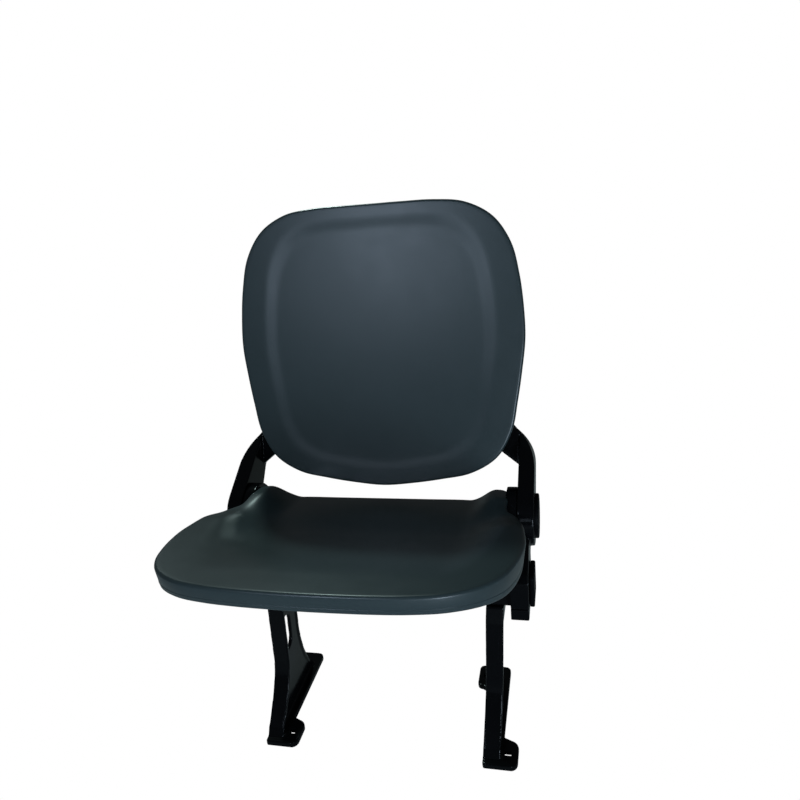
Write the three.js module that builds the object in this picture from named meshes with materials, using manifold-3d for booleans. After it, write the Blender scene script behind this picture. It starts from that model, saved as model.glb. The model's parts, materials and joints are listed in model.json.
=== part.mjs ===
// Tip-up stadium seat: two cast legs, a square beam, two cast back arms, a tipping seat and a backrest.
// Millimetres, +Z up, the sitter faces -Y. Right is +X and left is -X, as seen from the front.
// While the pieces are placed, Y is measured from the beam's axis and Z from the floor.
import * as THREE from 'three';
import { mergeVertices } from 'three/addons/utils/BufferGeometryUtils.js';
import Module from 'manifold-3d';

const wasm = await Module();
wasm.setup();

// Driving dimensions

const gap = 0.3;
const overrun = 3;
const overlap = 1;
const degrees = Math.PI / 180;

const tipRange = 72;

const seat = {
  width: 470,
  depth: 383,
  behindPivot: 34.5,
  tilt: 8,
  rimAbovePivot: 36,
  rimThickness: 24,
  thicknessUnderHips: 36,
  dish: 25,
  floorFromSide: 99,
  slopeWidthFront: 76,
  slopeWidthRear: 47,
  floorFrontY: -65,
  slopeLength: 235,
  slopeNarrowsFrom: -150,
  slopeNarrowsTo: 0,
  rimDip: 8,
  rimDipFrom: -140,
  rimDipLowest: -78,
  rimDipTo: -20,
  thickensFrom: 0,
  thickensOver: 125,
  draft: 4,
  edgeRadius: 4,
};

const back = {
  sideStep: 6.5,
  height: 440,
  recline: 12,
  centreAbovePivot: 238,
  centreBehindPivot: 82,
  centreDrop: 4,
  thickness: 22,
  step: 1.5,
  bowl: 2.5,
  draft: 1,
  edgeRadius: 4,
};

const beam = {
  size: 50,
  wall: 3,
  corner: 5,
  axisHeight: 258,
  pivotAbove: 82,
  pivotBehind: 53,
};

const beamCap = {
  thickness: 7,
  spigotLength: 16,
  spigotWall: 2.5,
};

const leg = {
  fromBeamEnd: 60,
  width: 26,
  web: 6,
  flange: 6,
  rearFlangeWidth: 10,
  lean: 10,
  headSetback: 27,
  frontSetback: 33,
  rearReach: 40,
  headReach: 25,
  shoulderHeight: 165,
  waistHeight: 122,
  heelControlHeight: 52,
  heelControlReach: 48,
  kneeHeight: 112,
  kneeControlHeight: 76,
  kneeControlSetback: 35,
  toeReach: 86,
  toeRise: 20,
  toeSlope: 5,
  headHeight: 26,
  windowWidth: 30,
  windowLow: 114,
  windowHigh: 176,
  windowSetback: 4,
};

const sole = {
  thickness: 9,
  stripOverhang: 3,
  toePastStrut: 11,
  toeOverhang: 26,
  toeLength: 50,
  toeCorner: 12,
  toeRearCorner: 14,
  toeRearTurn: 70,
  toeSlant: 5,
  tipCorner: 5,
  heelCorner: 9,
  heelOverhang: 24,
  heelLength: 50,
  heelReach: 114,
  slotWidth: 10,
  slotLength: 10,
  slotFromStrut: 10.5,
  slotFromToe: 25.5,
};

const hub = {
  radius: 42,
  fromSide: 37,
  width: 16,
  bore: 13,
  clipPocket: 3.5,
  clipPocketRadius: 15,
  notchClearance: 2,
  notchSide: 0.6,
};

const hingePlate = {
  width: 36,
  fromHub: 4,
  fromSeatFront: 190.5,
  thickness: 8,
  webWidth: 8,
  webDepth: 30,
};

const stop = {
  innerRadius: 44,
  outerRadius: 53,
  startAngle: 228,
  endAngle: 258,
  lugAngle: 15,
  bufferAngle: 5,
  fromHubFace: 3,
};

const bush = {
  wall: 2.4,
  flangeRadius: 18,
  flangeThickness: 2.1,
  flangeProud: 0.3,
};

const pin = {
  radius: 10,
  headRadius: 16,
  headLength: 5.5,
  endChamfer: 1,
  grooveDepth: 1.4,
};

const clip = {
  radius: 13,
  thickness: 1.3,
};

const arm = {
  thickness: 24,
  hubRadius: 44,
  recessRadius: 29,
  recessDepth: 8,
  waistBehindPivot: 46,
  waistAbovePivot: 10,
  shoulderBelowCentre: 138,
  elbowBelowCentre: 187,
  padThickness: 12,
  neckAngle: 117,
  undersideAngle: -25,
  upperScrewInset: 75.5,
  upperScrewBelow: 104,
  lowerScrewInset: 65.5,
  lowerScrewBelow: 141,
};

// The pad's corners, from the arm's outer side inwards and from the backrest's middle down
const pad = {
  topInset: 58.5,
  topBelow: 92,
  tipInset: 80.5,
  tipBelow: 84,
  innerInset: 93.5,
  innerBelow: 98,
  heelInset: 86.5,
  heelBelow: 140,
  throatInset: 50.5,
  throatBelow: 166,
};

// The arm's outer side sweeps over to the pad along a curve
const sweep = {
  startBelow: 184,
  controlBelow: 153,
  endInset: 27,
  endBelow: 130,
};

const foot = {
  width: 26,
  fromHubFace: 7,
  legThickness: 16,
  roofThickness: 12,
  jawThickness: 10.5,
  jawLip: 8,
  boltPocketRadius: 6.3,
  boltPocketDepth: 4.5,
  gussetFrontAngle: 200,
  gussetRearAngle: 310,
};

const pivotCap = {
  radius: 33,
  thickness: 5.5,
  edge: 1.2,
  spigotWall: 3,
  spigotLength: 5,
};

const clampBolt = { radius: 3, headRadius: 5.8, headLength: 4.2, length: 32 };
const legBolt = { radius: 4, headRadius: 7.5, headLength: 5.3, length: 70, spread: 26 };
const seatScrew = { radius: 3, headRadius: 6, headLength: 3.6, length: 25 };
const backScrew = { radius: 3, headRadius: 6, headLength: 3.6, length: 22 };

// Numbers of facets, which are counts and not sizes
const smallFacets = 12;
const roundFacets = 20;
const discFacets = 36;
const cornerSteps = 4;
const hexFacets = 6;
const pointsPerSpan = 2;
const edgeSteps = 3;

// Half outline of the seat from the middle of its front edge, as shares of half its width and of its depth
const seatOutlineShares = [
  [0, 0], [0.173, 0.002], [0.345, 0.007], [0.517, 0.019], [0.684, 0.046], [0.832, 0.106], [0.924, 0.188],
  [0.972, 0.283], [0.995, 0.37], [1, 0.43], [0.992, 0.495], [0.97, 0.597], [0.941, 0.675], [0.93, 0.701],
  [0.902, 0.727], [0.869, 0.753], [0.857, 0.79], [0.857, 0.84], [0.857, 0.895], [0.845, 0.922],
  [0.812, 0.94], [0.762, 0.947], [0.7, 0.967], [0.638, 0.991], [0.56, 1], [0.3, 1], [0, 1],
];

// Half outline of the backrest from the middle of its lower edge, as shares of half its width and its height
const backOutlineShares = [
  [0, 0], [0.208, 0.009], [0.415, 0.025], [0.618, 0.048], [0.794, 0.105], [0.897, 0.198], [0.94, 0.304],
  [0.973, 0.411], [0.997, 0.519], [0.991, 0.627], [0.967, 0.735], [0.918, 0.84], [0.804, 0.93],
  [0.624, 0.983], [0.418, 0.998], [0.209, 1], [0, 1],
];

// The backrest's inner face as shares of its outline across, above and below its middle
const innerFaceShares = { across: 0.82, above: 0.93, below: 0.905 };

// The part of the way to the middle in which the backrest's face steps back from its rim
const stepShare = 0.12;

// A screw's rounded head and blunt point, as shares of the radius of its head and of its shank
const crownShare = 0.7;
const pointShare = 0.33;

// The least part of an inset that an outline's corner may keep
const cornerShare = 0.5;

// Rings of a panel from its middle out, as shares of the way to the rim
const topRingShares = [0.24, 0.44, 0.6, 0.72, 0.81, 0.87, 0.93, 1];
const bottomRingShares = [1, 0.82, 0.45];

// Places that follow from the driving dimensions

const pivotHeight = beam.axisHeight + beam.pivotAbove;
const pivotBehindBeam = beam.pivotBehind;
const hubInnerX = seat.width / 2 - hub.fromSide;
const hubOuterX = hubInnerX + hub.width;
const plateOuterX = hubInnerX - hingePlate.fromHub;
const plateInnerX = plateOuterX - hingePlate.width;
const armInnerX = hubOuterX + 2 * gap;
const armOuterX = armInnerX + arm.thickness;
const footInnerX = hubInnerX + foot.fromHubFace;
const footOuterX = footInnerX + foot.width;
const beamLength = 2 * footOuterX;
const stopInnerX = hubInnerX + stop.fromHubFace;
const backHeight = pivotHeight + back.centreAbovePivot;
const backBehindBeam = pivotBehindBeam + back.centreBehindPivot;
const upright = 90;

// Materials

const slatePlastic = new THREE.MeshStandardMaterial({ color: 0x3c474e, roughness: 0.48, metalness: 0 });
const blackPaint = new THREE.MeshStandardMaterial({ color: 0x0c0d0f, roughness: 0.24, metalness: 0.1 });
const blackPlastic = new THREE.MeshStandardMaterial({ color: 0x121315, roughness: 0.5, metalness: 0 });
const zincSteel = new THREE.MeshStandardMaterial({ color: 0x8d9094, roughness: 0.35, metalness: 0.9 });
const nylon = new THREE.MeshStandardMaterial({ color: 0xd8d4c8, roughness: 0.55, metalness: 0 });
const blackRubber = new THREE.MeshStandardMaterial({ color: 0x17181a, roughness: 0.85, metalness: 0 });

// Solids and meshes

function solidOf(geometry) {
  const bare = geometry.clone();
  bare.deleteAttribute('normal');
  bare.deleteAttribute('uv');
  const merged = mergeVertices(bare);
  const vertProperties = new Float32Array(merged.attributes.position.array);
  const triVerts = new Uint32Array(merged.index.array);
  return new wasm.Manifold(new wasm.Mesh({ numProp: 3, vertProperties, triVerts }));
}

function geometryOf(solid) {
  const { vertProperties, triVerts } = solid.getMesh();
  const geometry = new THREE.BufferGeometry();
  geometry.setAttribute('position', new THREE.BufferAttribute(new Float32Array(vertProperties), 3));
  geometry.setIndex(new THREE.BufferAttribute(new Uint32Array(triVerts), 1));
  geometry.computeVertexNormals();
  return geometry;
}

function mirrored(geometry) {
  const other = geometry.clone();
  other.applyMatrix4(new THREE.Matrix4().makeScale(-1, 1, 1));
  const corners = other.index.array;
  for (let i = 0; i < corners.length; i += 3) {
    [corners[i + 1], corners[i + 2]] = [corners[i + 2], corners[i + 1]];
  }
  other.computeVertexNormals();
  return other;
}

function addPiece(group, name, geometry, material) {
  const mesh = new THREE.Mesh(geometry, material);
  mesh.name = name;
  group.add(mesh);
  return mesh;
}

// A solid drawn for the right side also gives the left piece, as its mirror image
function addPair(group, name, solid, material) {
  const geometry = geometryOf(solid);
  addPiece(group, `${name}_right`, geometry, material);
  addPiece(group, `${name}_left`, mirrored(geometry), material);
}

// Prisms and turned pieces

function shapeOf(points) {
  return new THREE.Shape(points.map(([a, b]) => new THREE.Vector2(a, b)));
}

// A prism with its outline in X and Y, from one height to another
function uprightPrism(shape, low, high) {
  const settings = { depth: high - low, bevelEnabled: false, curveSegments: cornerSteps };
  const geometry = new THREE.ExtrudeGeometry(shape, settings);
  geometry.translate(0, 0, low);
  return solidOf(geometry);
}

// A prism with its outline in Y and Z, from one X to another
function sidePrism(shape, from, to) {
  const settings = { depth: to - from, bevelEnabled: false, curveSegments: cornerSteps };
  const geometry = new THREE.ExtrudeGeometry(shape, settings);
  const turn = new THREE.Matrix4().set(0, 0, 1, from, 1, 0, 0, 0, 0, 1, 0, 0, 0, 0, 0, 1);
  geometry.applyMatrix4(turn);
  return solidOf(geometry);
}

function block(x0, x1, y0, y1, z0, z1) {
  const geometry = new THREE.BoxGeometry(x1 - x0, y1 - y0, z1 - z0);
  geometry.translate((x0 + x1) / 2, (y0 + y1) / 2, (z0 + z1) / 2);
  return solidOf(geometry);
}

// A turned piece on an axis along X: its profile holds pairs of X and radius
function turnedAlongX(profile, y, z, facets) {
  const geometry = new THREE.LatheGeometry(profile.map(([x, r]) => new THREE.Vector2(r, x)), facets);
  geometry.rotateZ(-Math.PI / 2);
  geometry.translate(0, y, z);
  return solidOf(geometry);
}

// A turned piece on an axis along Z: its profile holds pairs of Z and radius
function turnedAlongZ(profile, x, y, facets) {
  const geometry = new THREE.LatheGeometry(profile.map(([z, r]) => new THREE.Vector2(r, z)), facets);
  geometry.rotateX(Math.PI / 2);
  geometry.translate(x, y, 0);
  return solidOf(geometry);
}

function discAlongX(radius, from, to, y, z, facets = discFacets) {
  return turnedAlongX([[from, 0], [from, radius], [to, radius], [to, 0]], y, z, facets);
}

function rodAlongZ(radius, low, high, x, y, facets = smallFacets) {
  return turnedAlongZ([[low, 0], [low, radius], [high, radius], [high, 0]], x, y, facets);
}

function roundedRectangle(width, height, corner) {
  const a = width / 2;
  const b = height / 2;
  const shape = new THREE.Shape();
  shape.moveTo(-a + corner, -b);
  shape.lineTo(a - corner, -b);
  shape.absarc(a - corner, -b + corner, corner, -Math.PI / 2, 0, false);
  shape.absarc(a - corner, b - corner, corner, 0, Math.PI / 2, false);
  shape.absarc(-a + corner, b - corner, corner, Math.PI / 2, Math.PI, false);
  shape.absarc(-a + corner, -b + corner, corner, Math.PI, 1.5 * Math.PI, false);
  return shape;
}

// A sector of a ring about a point of the Y Z plane, with its angles counted from +Y towards +Z
function ringSector(inner, outer, startAngle, endAngle, y, z) {
  const a = startAngle * degrees;
  const b = endAngle * degrees;
  const shape = new THREE.Shape();
  shape.absarc(y, z, outer, a, b, false);
  shape.absarc(y, z, inner, b, a, true);
  return shape;
}

// Each corner moves inwards, square to both its sides, by the distance given; the outline runs anticlockwise
function insetOutline(points, distance) {
  return points.map((point, i) => {
    const before = points[(i + points.length - 1) % points.length];
    const after = points[(i + 1) % points.length];
    const first = normalOf(before, point);
    const second = normalOf(point, after);
    const middle = first.clone().add(second).normalize();
    const stretch = distance / Math.max(middle.dot(first), cornerShare);
    return new THREE.Vector2(point.x, point.y).addScaledVector(middle, stretch);
  });
}

function normalOf(from, to) {
  return new THREE.Vector2(from.y - to.y, to.x - from.x).normalize();
}

function smoothShare(value, low, high) {
  return THREE.MathUtils.smoothstep(value, low, high);
}

// Panels: the seat and the backrest are moulded shells with a dished face and rounded edges

function panelOutline(shares, width, depth, start) {
  const half = shares.map(([across, along]) => [across * width / 2, start + along * depth]);
  const otherHalf = half.slice(1, -1).reverse().map(([x, y]) => [-x, y]);
  const knots = [...half, ...otherHalf].map(([x, y]) => new THREE.Vector3(x, y, 0));
  const curve = new THREE.CatmullRomCurve3(knots, true, 'centripetal');
  const points = curve.getPoints(knots.length * pointsPerSpan).slice(0, -1);
  return points.map(({ x, y }) => new THREE.Vector2(x, y));
}

// Closed rings from the middle of the face, round the edge and back to the middle of the underside.
// The sides draw in by the draft towards the underside.
function panelSolid(outline, centre, topHeight, bottomHeight, { edgeRadius, draft }) {
  const rings = [];
  const addRing = (inset, share, heightOf) => {
    const edge = insetOutline(outline, inset);
    const points = edge.map((p) => p.sub(centre).multiplyScalar(share).add(centre));
    rings.push(points.map((p) => new THREE.Vector3(p.x, p.y, heightOf(p))));
  };
  for (const share of topRingShares) addRing(edgeRadius, share, (p) => topHeight(p));
  for (let step = 1; step <= edgeSteps; step += 1) {
    const turn = (step / edgeSteps) * Math.PI / 2;
    const drop = edgeRadius * (1 - Math.cos(turn));
    addRing(edgeRadius * (1 - Math.sin(turn)), 1, (p) => topHeight(p) - drop);
  }
  for (let step = 0; step < edgeSteps; step += 1) {
    const turn = (step / edgeSteps) * Math.PI / 2;
    const rise = edgeRadius * (1 - Math.sin(turn));
    addRing(draft + edgeRadius * (1 - Math.cos(turn)), 1, (p) => bottomHeight(p) + rise);
  }
  for (const share of bottomRingShares) addRing(draft + edgeRadius, share, (p) => bottomHeight(p));
  return solidOf(ringsGeometry(rings, centre, topHeight(centre), bottomHeight(centre)));
}

function ringsGeometry(rings, centre, topZ, bottomZ) {
  const count = rings[0].length;
  const corners = [];
  const first = new THREE.Vector3(centre.x, centre.y, topZ);
  const last = new THREE.Vector3(centre.x, centre.y, bottomZ);
  for (let i = 0; i < count; i += 1) {
    const next = (i + 1) % count;
    corners.push(first, rings[0][i], rings[0][next]);
    for (let ring = 0; ring + 1 < rings.length; ring += 1) {
      const [a, b] = [rings[ring][i], rings[ring][next]];
      const [c, d] = [rings[ring + 1][i], rings[ring + 1][next]];
      corners.push(a, c, d, a, d, b);
    }
    const end = rings[rings.length - 1];
    corners.push(last, end[next], end[i]);
  }
  return new THREE.BufferGeometry().setFromPoints(corners);
}

// Seat panel, in the seat's own frame: origin on the pivot axis, Y to the seat's rear, Z square to the seat

const seatEnd = seat.behindPivot;
const seatStart = seatEnd - seat.depth;
const plateLength = -seatStart - hingePlate.fromSeatFront;
const seatUnderside = seat.rimAbovePivot - seat.thicknessUnderHips;

// The rim dips a little ahead of the hubs
function rimHeight(y) {
  const fall = smoothShare(y, seat.rimDipFrom, seat.rimDipLowest);
  const rise = smoothShare(y, seat.rimDipLowest, seat.rimDipTo);
  return seat.rimAbovePivot - seat.rimDip * (fall - rise);
}

// The dish has a flat floor, steep sides and a long slope up to the front
function seatTop({ x, y }) {
  const toRear = smoothShare(y, seat.slopeNarrowsFrom, seat.slopeNarrowsTo);
  const slopeWidth = THREE.MathUtils.lerp(seat.slopeWidthFront, seat.slopeWidthRear, toRear);
  const across = Math.max(Math.abs(x) - seat.width / 2 + seat.floorFromSide, 0) / slopeWidth;
  const ahead = Math.max(seat.floorFrontY - y, 0) / seat.slopeLength;
  const floorHeight = seat.rimAbovePivot - seat.dish;
  return THREE.MathUtils.lerp(floorHeight, rimHeight(y), smoothShare(Math.hypot(across, ahead), 0, 1));
}

function seatBottom({ y }) {
  const start = seatStart + seat.thickensFrom;
  const toHips = smoothShare(y, start, start + seat.thickensOver);
  return seat.rimAbovePivot - THREE.MathUtils.lerp(seat.rimThickness, seat.thicknessUnderHips, toHips);
}

const seatPlateTop = seatUnderside - gap;
const seatPlateBottom = seatPlateTop - hingePlate.thickness;
const seatScrewX = (plateInnerX + plateOuterX) / 2;
const seatScrewEnd = seatPlateBottom - gap + seatScrew.length;
const seatScrewPlaceShares = [0.12, 0.5, 0.88];
const seatScrewPlaces = seatScrewPlaceShares.map((share) => -share * plateLength);

// Room in the panel's side for the hub
function hubNotch(side) {
  const near = hubInnerX - hub.notchSide;
  const far = seat.width / 2 + overrun;
  const [from, to] = side > 0 ? [near, far] : [-far, -near];
  return discAlongX(hub.radius + hub.notchClearance, from, to, 0, 0);
}

function seatPanel() {
  const outline = panelOutline(seatOutlineShares, seat.width, seat.depth, seatStart);
  const centre = new THREE.Vector2(0, (seatStart + seatEnd) / 2);
  let panel = panelSolid(outline, centre, seatTop, seatBottom, seat);
  for (const side of [-1, 1]) {
    panel = panel.subtract(hubNotch(side));
    for (const y of seatScrewPlaces) {
      const hole = rodAlongZ(
        seatScrew.radius + gap, seatUnderside - overrun, seatScrewEnd + gap, side * seatScrewX, y,
      );
      panel = panel.subtract(hole);
    }
  }
  return panel;
}

// Cast hinge arm under each side of the seat: hub, plate, web and two stop lugs

function lug(startAngle) {
  const endAngle = startAngle + stop.lugAngle;
  const shape = ringSector(hub.radius - overrun, stop.outerRadius, startAngle, endAngle, 0, 0);
  return sidePrism(shape, hubInnerX, hubOuterX);
}

function hingeArm() {
  const gapAngle = gap / stop.outerRadius / degrees;
  const downLugStart = stop.startAngle - stop.bufferAngle - 2 * gapAngle - stop.lugAngle;
  const upLugStart = stop.endAngle + stop.bufferAngle + 2 * gapAngle + tipRange;
  const web = shapeOf([
    [-plateLength, seatPlateBottom + overlap],
    [-hub.radius / 2, -hingePlate.webDepth],
    [0, -hingePlate.webDepth],
    [0, seatPlateBottom + overlap],
  ]);
  const plate = block(
    plateInnerX, plateOuterX, -plateLength, 0, seatPlateBottom, seatPlateTop,
  );
  const bridge = block(
    plateOuterX - overrun, hubOuterX, -hub.radius + overrun, 0, seatPlateBottom, seatPlateTop,
  );
  const pocketEnd = hubInnerX + hub.clipPocket;
  const bushSeatX = hubOuterX + bush.flangeProud - bush.flangeThickness - gap;
  return discAlongX(hub.radius, hubInnerX, hubOuterX, 0, 0)
    .add(plate)
    .add(bridge)
    .add(sidePrism(web, plateOuterX - hingePlate.webWidth, plateOuterX))
    .add(lug(downLugStart + seat.tilt))
    .add(lug(upLugStart + seat.tilt))
    .subtract(discAlongX(hub.bore, hubInnerX - overrun, hubOuterX + overrun, 0, 0, roundFacets))
    .subtract(discAlongX(hub.clipPocketRadius, hubInnerX - overrun, pocketEnd, 0, 0, roundFacets))
    .subtract(discAlongX(bush.flangeRadius + gap, bushSeatX, hubOuterX + overrun, 0, 0, roundFacets))
    .subtract(seatScrewHoles());
}

function seatScrewHoles() {
  const holes = seatScrewPlaces.map((y) => rodAlongZ(
    seatScrew.radius + gap, seatPlateBottom - overrun, seatPlateTop + overrun, seatScrewX, y,
  ));
  return holes.reduce((all, hole) => all.add(hole));
}

// Screws and bolts stand on Z, with the head below or above the shank

function screwUp({ radius, headRadius, headLength, length }, seatZ, x, y) {
  return turnedAlongZ([
    [seatZ - headLength, 0], [seatZ - headLength, headRadius * crownShare],
    [seatZ - headLength / 2, headRadius], [seatZ, headRadius], [seatZ, radius],
    [seatZ + length - radius, radius], [seatZ + length, radius * pointShare], [seatZ + length, 0],
  ], x, y, smallFacets);
}

function hexBolt({ radius, headRadius, headLength, length }, seatZ, x, y, up) {
  const head = rodAlongZ(headRadius, 0, headLength, 0, 0, hexFacets);
  const shank = rodAlongZ(radius, -length, headLength / 2, 0, 0);
  const halfTurn = up ? 0 : 2 * upright;
  return head.add(shank).rotate([halfTurn, 0, 0]).translate([x, y, seatZ]);
}

// Pivot: pin, flanged bush, retaining clip and cap, all on the tipping axis

const recessX = armOuterX - arm.recessDepth;
const clipPocketFloor = hubInnerX + hub.clipPocket;

function pivotBush() {
  const inner = pin.radius + gap;
  const outer = inner + bush.wall;
  const start = clipPocketFloor + gap;
  const end = hubOuterX + bush.flangeProud;
  const flangeStart = end - bush.flangeThickness;
  return turnedAlongX([
    [start, inner], [start, outer], [flangeStart, outer], [flangeStart, bush.flangeRadius],
    [end, bush.flangeRadius], [end, inner], [start, inner],
  ], pivotBehindBeam, pivotHeight, roundFacets);
}

const clipX = hubInnerX + (hub.clipPocket - clip.thickness) / 2;

function pivotPin() {
  const headStart = recessX + gap;
  const grooveRadius = pin.radius - pin.grooveDepth;
  const grooveStart = clipX - gap;
  const grooveEnd = clipX + clip.thickness + gap;
  const end = hubInnerX + gap;
  return turnedAlongX([
    [end, 0], [end, grooveRadius], [grooveStart, grooveRadius], [grooveEnd, grooveRadius],
    [grooveEnd, pin.radius], [headStart, pin.radius], [headStart, pin.headRadius],
    [headStart + pin.headLength - pin.endChamfer, pin.headRadius],
    [headStart + pin.headLength, pin.headRadius - pin.endChamfer], [headStart + pin.headLength, 0],
  ], pivotBehindBeam, pivotHeight, roundFacets);
}

function pivotClip() {
  const inner = pin.radius - pin.grooveDepth + gap;
  const end = clipX + clip.thickness;
  return turnedAlongX([
    [clipX, inner], [clipX, clip.radius], [end, clip.radius], [end, inner], [clipX, inner],
  ], pivotBehindBeam, pivotHeight, roundFacets);
}

function pivotCapSolid() {
  const start = armOuterX + gap;
  const end = start + pivotCap.thickness;
  const spigotOuter = arm.recessRadius - gap;
  const spigotInner = spigotOuter - pivotCap.spigotWall;
  const spigotStart = start - pivotCap.spigotLength;
  return turnedAlongX([
    [start, 0], [start, spigotInner], [spigotStart, spigotInner], [spigotStart, spigotOuter],
    [start, spigotOuter], [start, pivotCap.radius], [end - pivotCap.edge, pivotCap.radius],
    [end, pivotCap.radius - pivotCap.edge], [end, 0],
  ], pivotBehindBeam, pivotHeight, discFacets);
}

// Backrest, in its own frame: X across, Y up along the recline, Z out of the face towards the sitter

const backStart = -back.height / 2 + back.centreDrop;
const backOutline = panelOutline(backOutlineShares, seat.width - 2 * back.sideStep, back.height, backStart);

// How far a point is on its way from the middle to the outline
function outlineShare(outline, point) {
  for (let i = 0; i < outline.length; i += 1) {
    const from = outline[i];
    const side = outline[(i + 1) % outline.length].clone().sub(from);
    const turn = point.cross(side);
    const reach = from.cross(side) / turn;
    const along = from.cross(point) / turn;
    if (reach > 0 && along >= 0 && along <= 1) return 1 / reach;
  }
  return 0;
}

// The face steps back inside its rim and goes on as a shallow bowl
function backTop({ x, y }) {
  const tall = y > 0 ? innerFaceShares.above : innerFaceShares.below;
  const share = outlineShare(backOutline, new THREE.Vector2(x / innerFaceShares.across, y / tall));
  const inward = Math.max(1 - share, 0);
  return -back.step * smoothShare(inward, 0, stepShare) - back.bowl * inward * (1 + share);
}

const padFront = -back.thickness - gap;
const padRear = padFront - arm.padThickness;
const backScrewEnd = padRear - gap + backScrew.length;
const backScrewPlaces = [
  { across: armOuterX - arm.upperScrewInset, below: arm.upperScrewBelow },
  { across: armOuterX - arm.lowerScrewInset, below: arm.lowerScrewBelow },
];

function backPanel() {
  const centre = new THREE.Vector2(0, backStart + back.height / 2);
  let panel = panelSolid(backOutline, centre, backTop, () => -back.thickness, back);
  for (const side of [-1, 1]) {
    for (const { across, below } of backScrewPlaces) {
      const hole = rodAlongZ(
        backScrew.radius + gap, -back.thickness - overrun, backScrewEnd + gap, side * across, -below,
      );
      panel = panel.subtract(hole);
    }
  }
  return panel;
}

// Places a solid drawn in the backrest's frame among the pieces of the frame
function fromBackFrame(solid) {
  return solid.rotate([upright - back.recline, 0, 0]).translate([0, backBehindBeam, backHeight]);
}

// A point of the Y Z plane, from its height along the recline and its distance in front of the face
function backPoint(along, out) {
  const turn = (upright - back.recline) * degrees;
  return [
    backBehindBeam + along * Math.cos(turn) - out * Math.sin(turn),
    backHeight + along * Math.sin(turn) + out * Math.cos(turn),
  ];
}

// Back arm: one casting with the foot over the beam, the pivot hub, the neck and the pad behind the backrest

const beamBottom = beam.axisHeight - beam.size / 2;
const beamTop = beam.axisHeight + beam.size / 2;
const beamFace = beam.size / 2;
const footBottom = beamBottom + foot.jawLip;
const footReach = beamFace + gap + foot.legThickness;
const footTop = beamTop + gap + foot.roofThickness;

function sweepPoints() {
  const curve = new THREE.QuadraticBezierCurve(
    new THREE.Vector2(armOuterX, -sweep.startBelow),
    new THREE.Vector2(armOuterX, -sweep.controlBelow),
    new THREE.Vector2(armOuterX - sweep.endInset, -sweep.endBelow),
  );
  return curve.getPoints(cornerSteps).map(({ x, y }) => [x, y]);
}

function neckAndPad() {
  return uprightPrism(shapeOf([
    [armInnerX, -arm.elbowBelowCentre],
    [armOuterX, -arm.elbowBelowCentre],
    ...sweepPoints(),
    [armOuterX - pad.topInset, -pad.topBelow],
    [armOuterX - pad.tipInset, -pad.tipBelow],
    [armOuterX - pad.innerInset, -pad.innerBelow],
    [armOuterX - pad.heelInset, -pad.heelBelow],
    [armOuterX - pad.throatInset, -pad.throatBelow],
  ]), padRear, padFront);
}

// What the sweep leaves of the arm's side, as a prism through its whole depth
function sweepZone() {
  const reach = back.height;
  return fromBackFrame(uprightPrism(shapeOf([
    [armInnerX - overrun, -reach],
    [armOuterX + overrun, -reach],
    [armOuterX + overrun, -sweep.startBelow],
    ...sweepPoints(),
    [armInnerX - overrun, -sweep.endBelow],
  ]), -reach, reach));
}

// A point on the rim of the arm's hub
function onArmHub(angle) {
  return [
    pivotBehindBeam + arm.hubRadius * Math.cos(angle * degrees),
    pivotHeight + arm.hubRadius * Math.sin(angle * degrees),
  ];
}

function armSide() {
  const [shoulder, shoulderRear, elbow] = [
    backPoint(-arm.shoulderBelowCentre, padFront),
    backPoint(-arm.shoulderBelowCentre, padRear),
    backPoint(-arm.elbowBelowCentre, padRear),
  ];
  return sidePrism(shapeOf([
    onArmHub(arm.undersideAngle),
    [pivotBehindBeam + arm.waistBehindPivot, pivotHeight + arm.waistAbovePivot],
    elbow,
    shoulderRear,
    shoulder,
    onArmHub(arm.neckAngle),
    [pivotBehindBeam, pivotHeight],
  ]), armInnerX, armOuterX);
}

function footSolid() {
  const inner = beamFace + gap;
  const saddle = sidePrism(shapeOf([
    [-footReach, footBottom],
    [-inner, footBottom],
    [-inner, beamTop + gap],
    [inner, beamTop + gap],
    [inner, footBottom],
    [footReach, footBottom],
    [footReach, beamTop],
    [footReach - foot.legThickness / 2, footTop],
    [-footReach + foot.legThickness / 2, footTop],
    [-footReach, beamTop],
  ]), footInnerX, footOuterX);
  const gusset = sidePrism(shapeOf([
    [-footReach + foot.legThickness / 2, footTop - overlap],
    [footReach, beamTop + overlap],
    onArmHub(foot.gussetRearAngle),
    [pivotBehindBeam, pivotHeight],
    onArmHub(foot.gussetFrontAngle),
  ]), armInnerX, footOuterX);
  return saddle.add(gusset);
}

function stopBlock() {
  const shape = ringSector(
    stop.innerRadius, stop.outerRadius, stop.startAngle, stop.endAngle, pivotBehindBeam, pivotHeight,
  );
  return sidePrism(shape, stopInnerX, armInnerX + overrun);
}

const jawBottom = beamBottom - gap - foot.jawThickness;
const clampX = (footInnerX + footOuterX) / 2;
const clampBoltReach = footReach - foot.legThickness / 2;
const clampBoltSeat = jawBottom + foot.boltPocketDepth;

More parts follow.
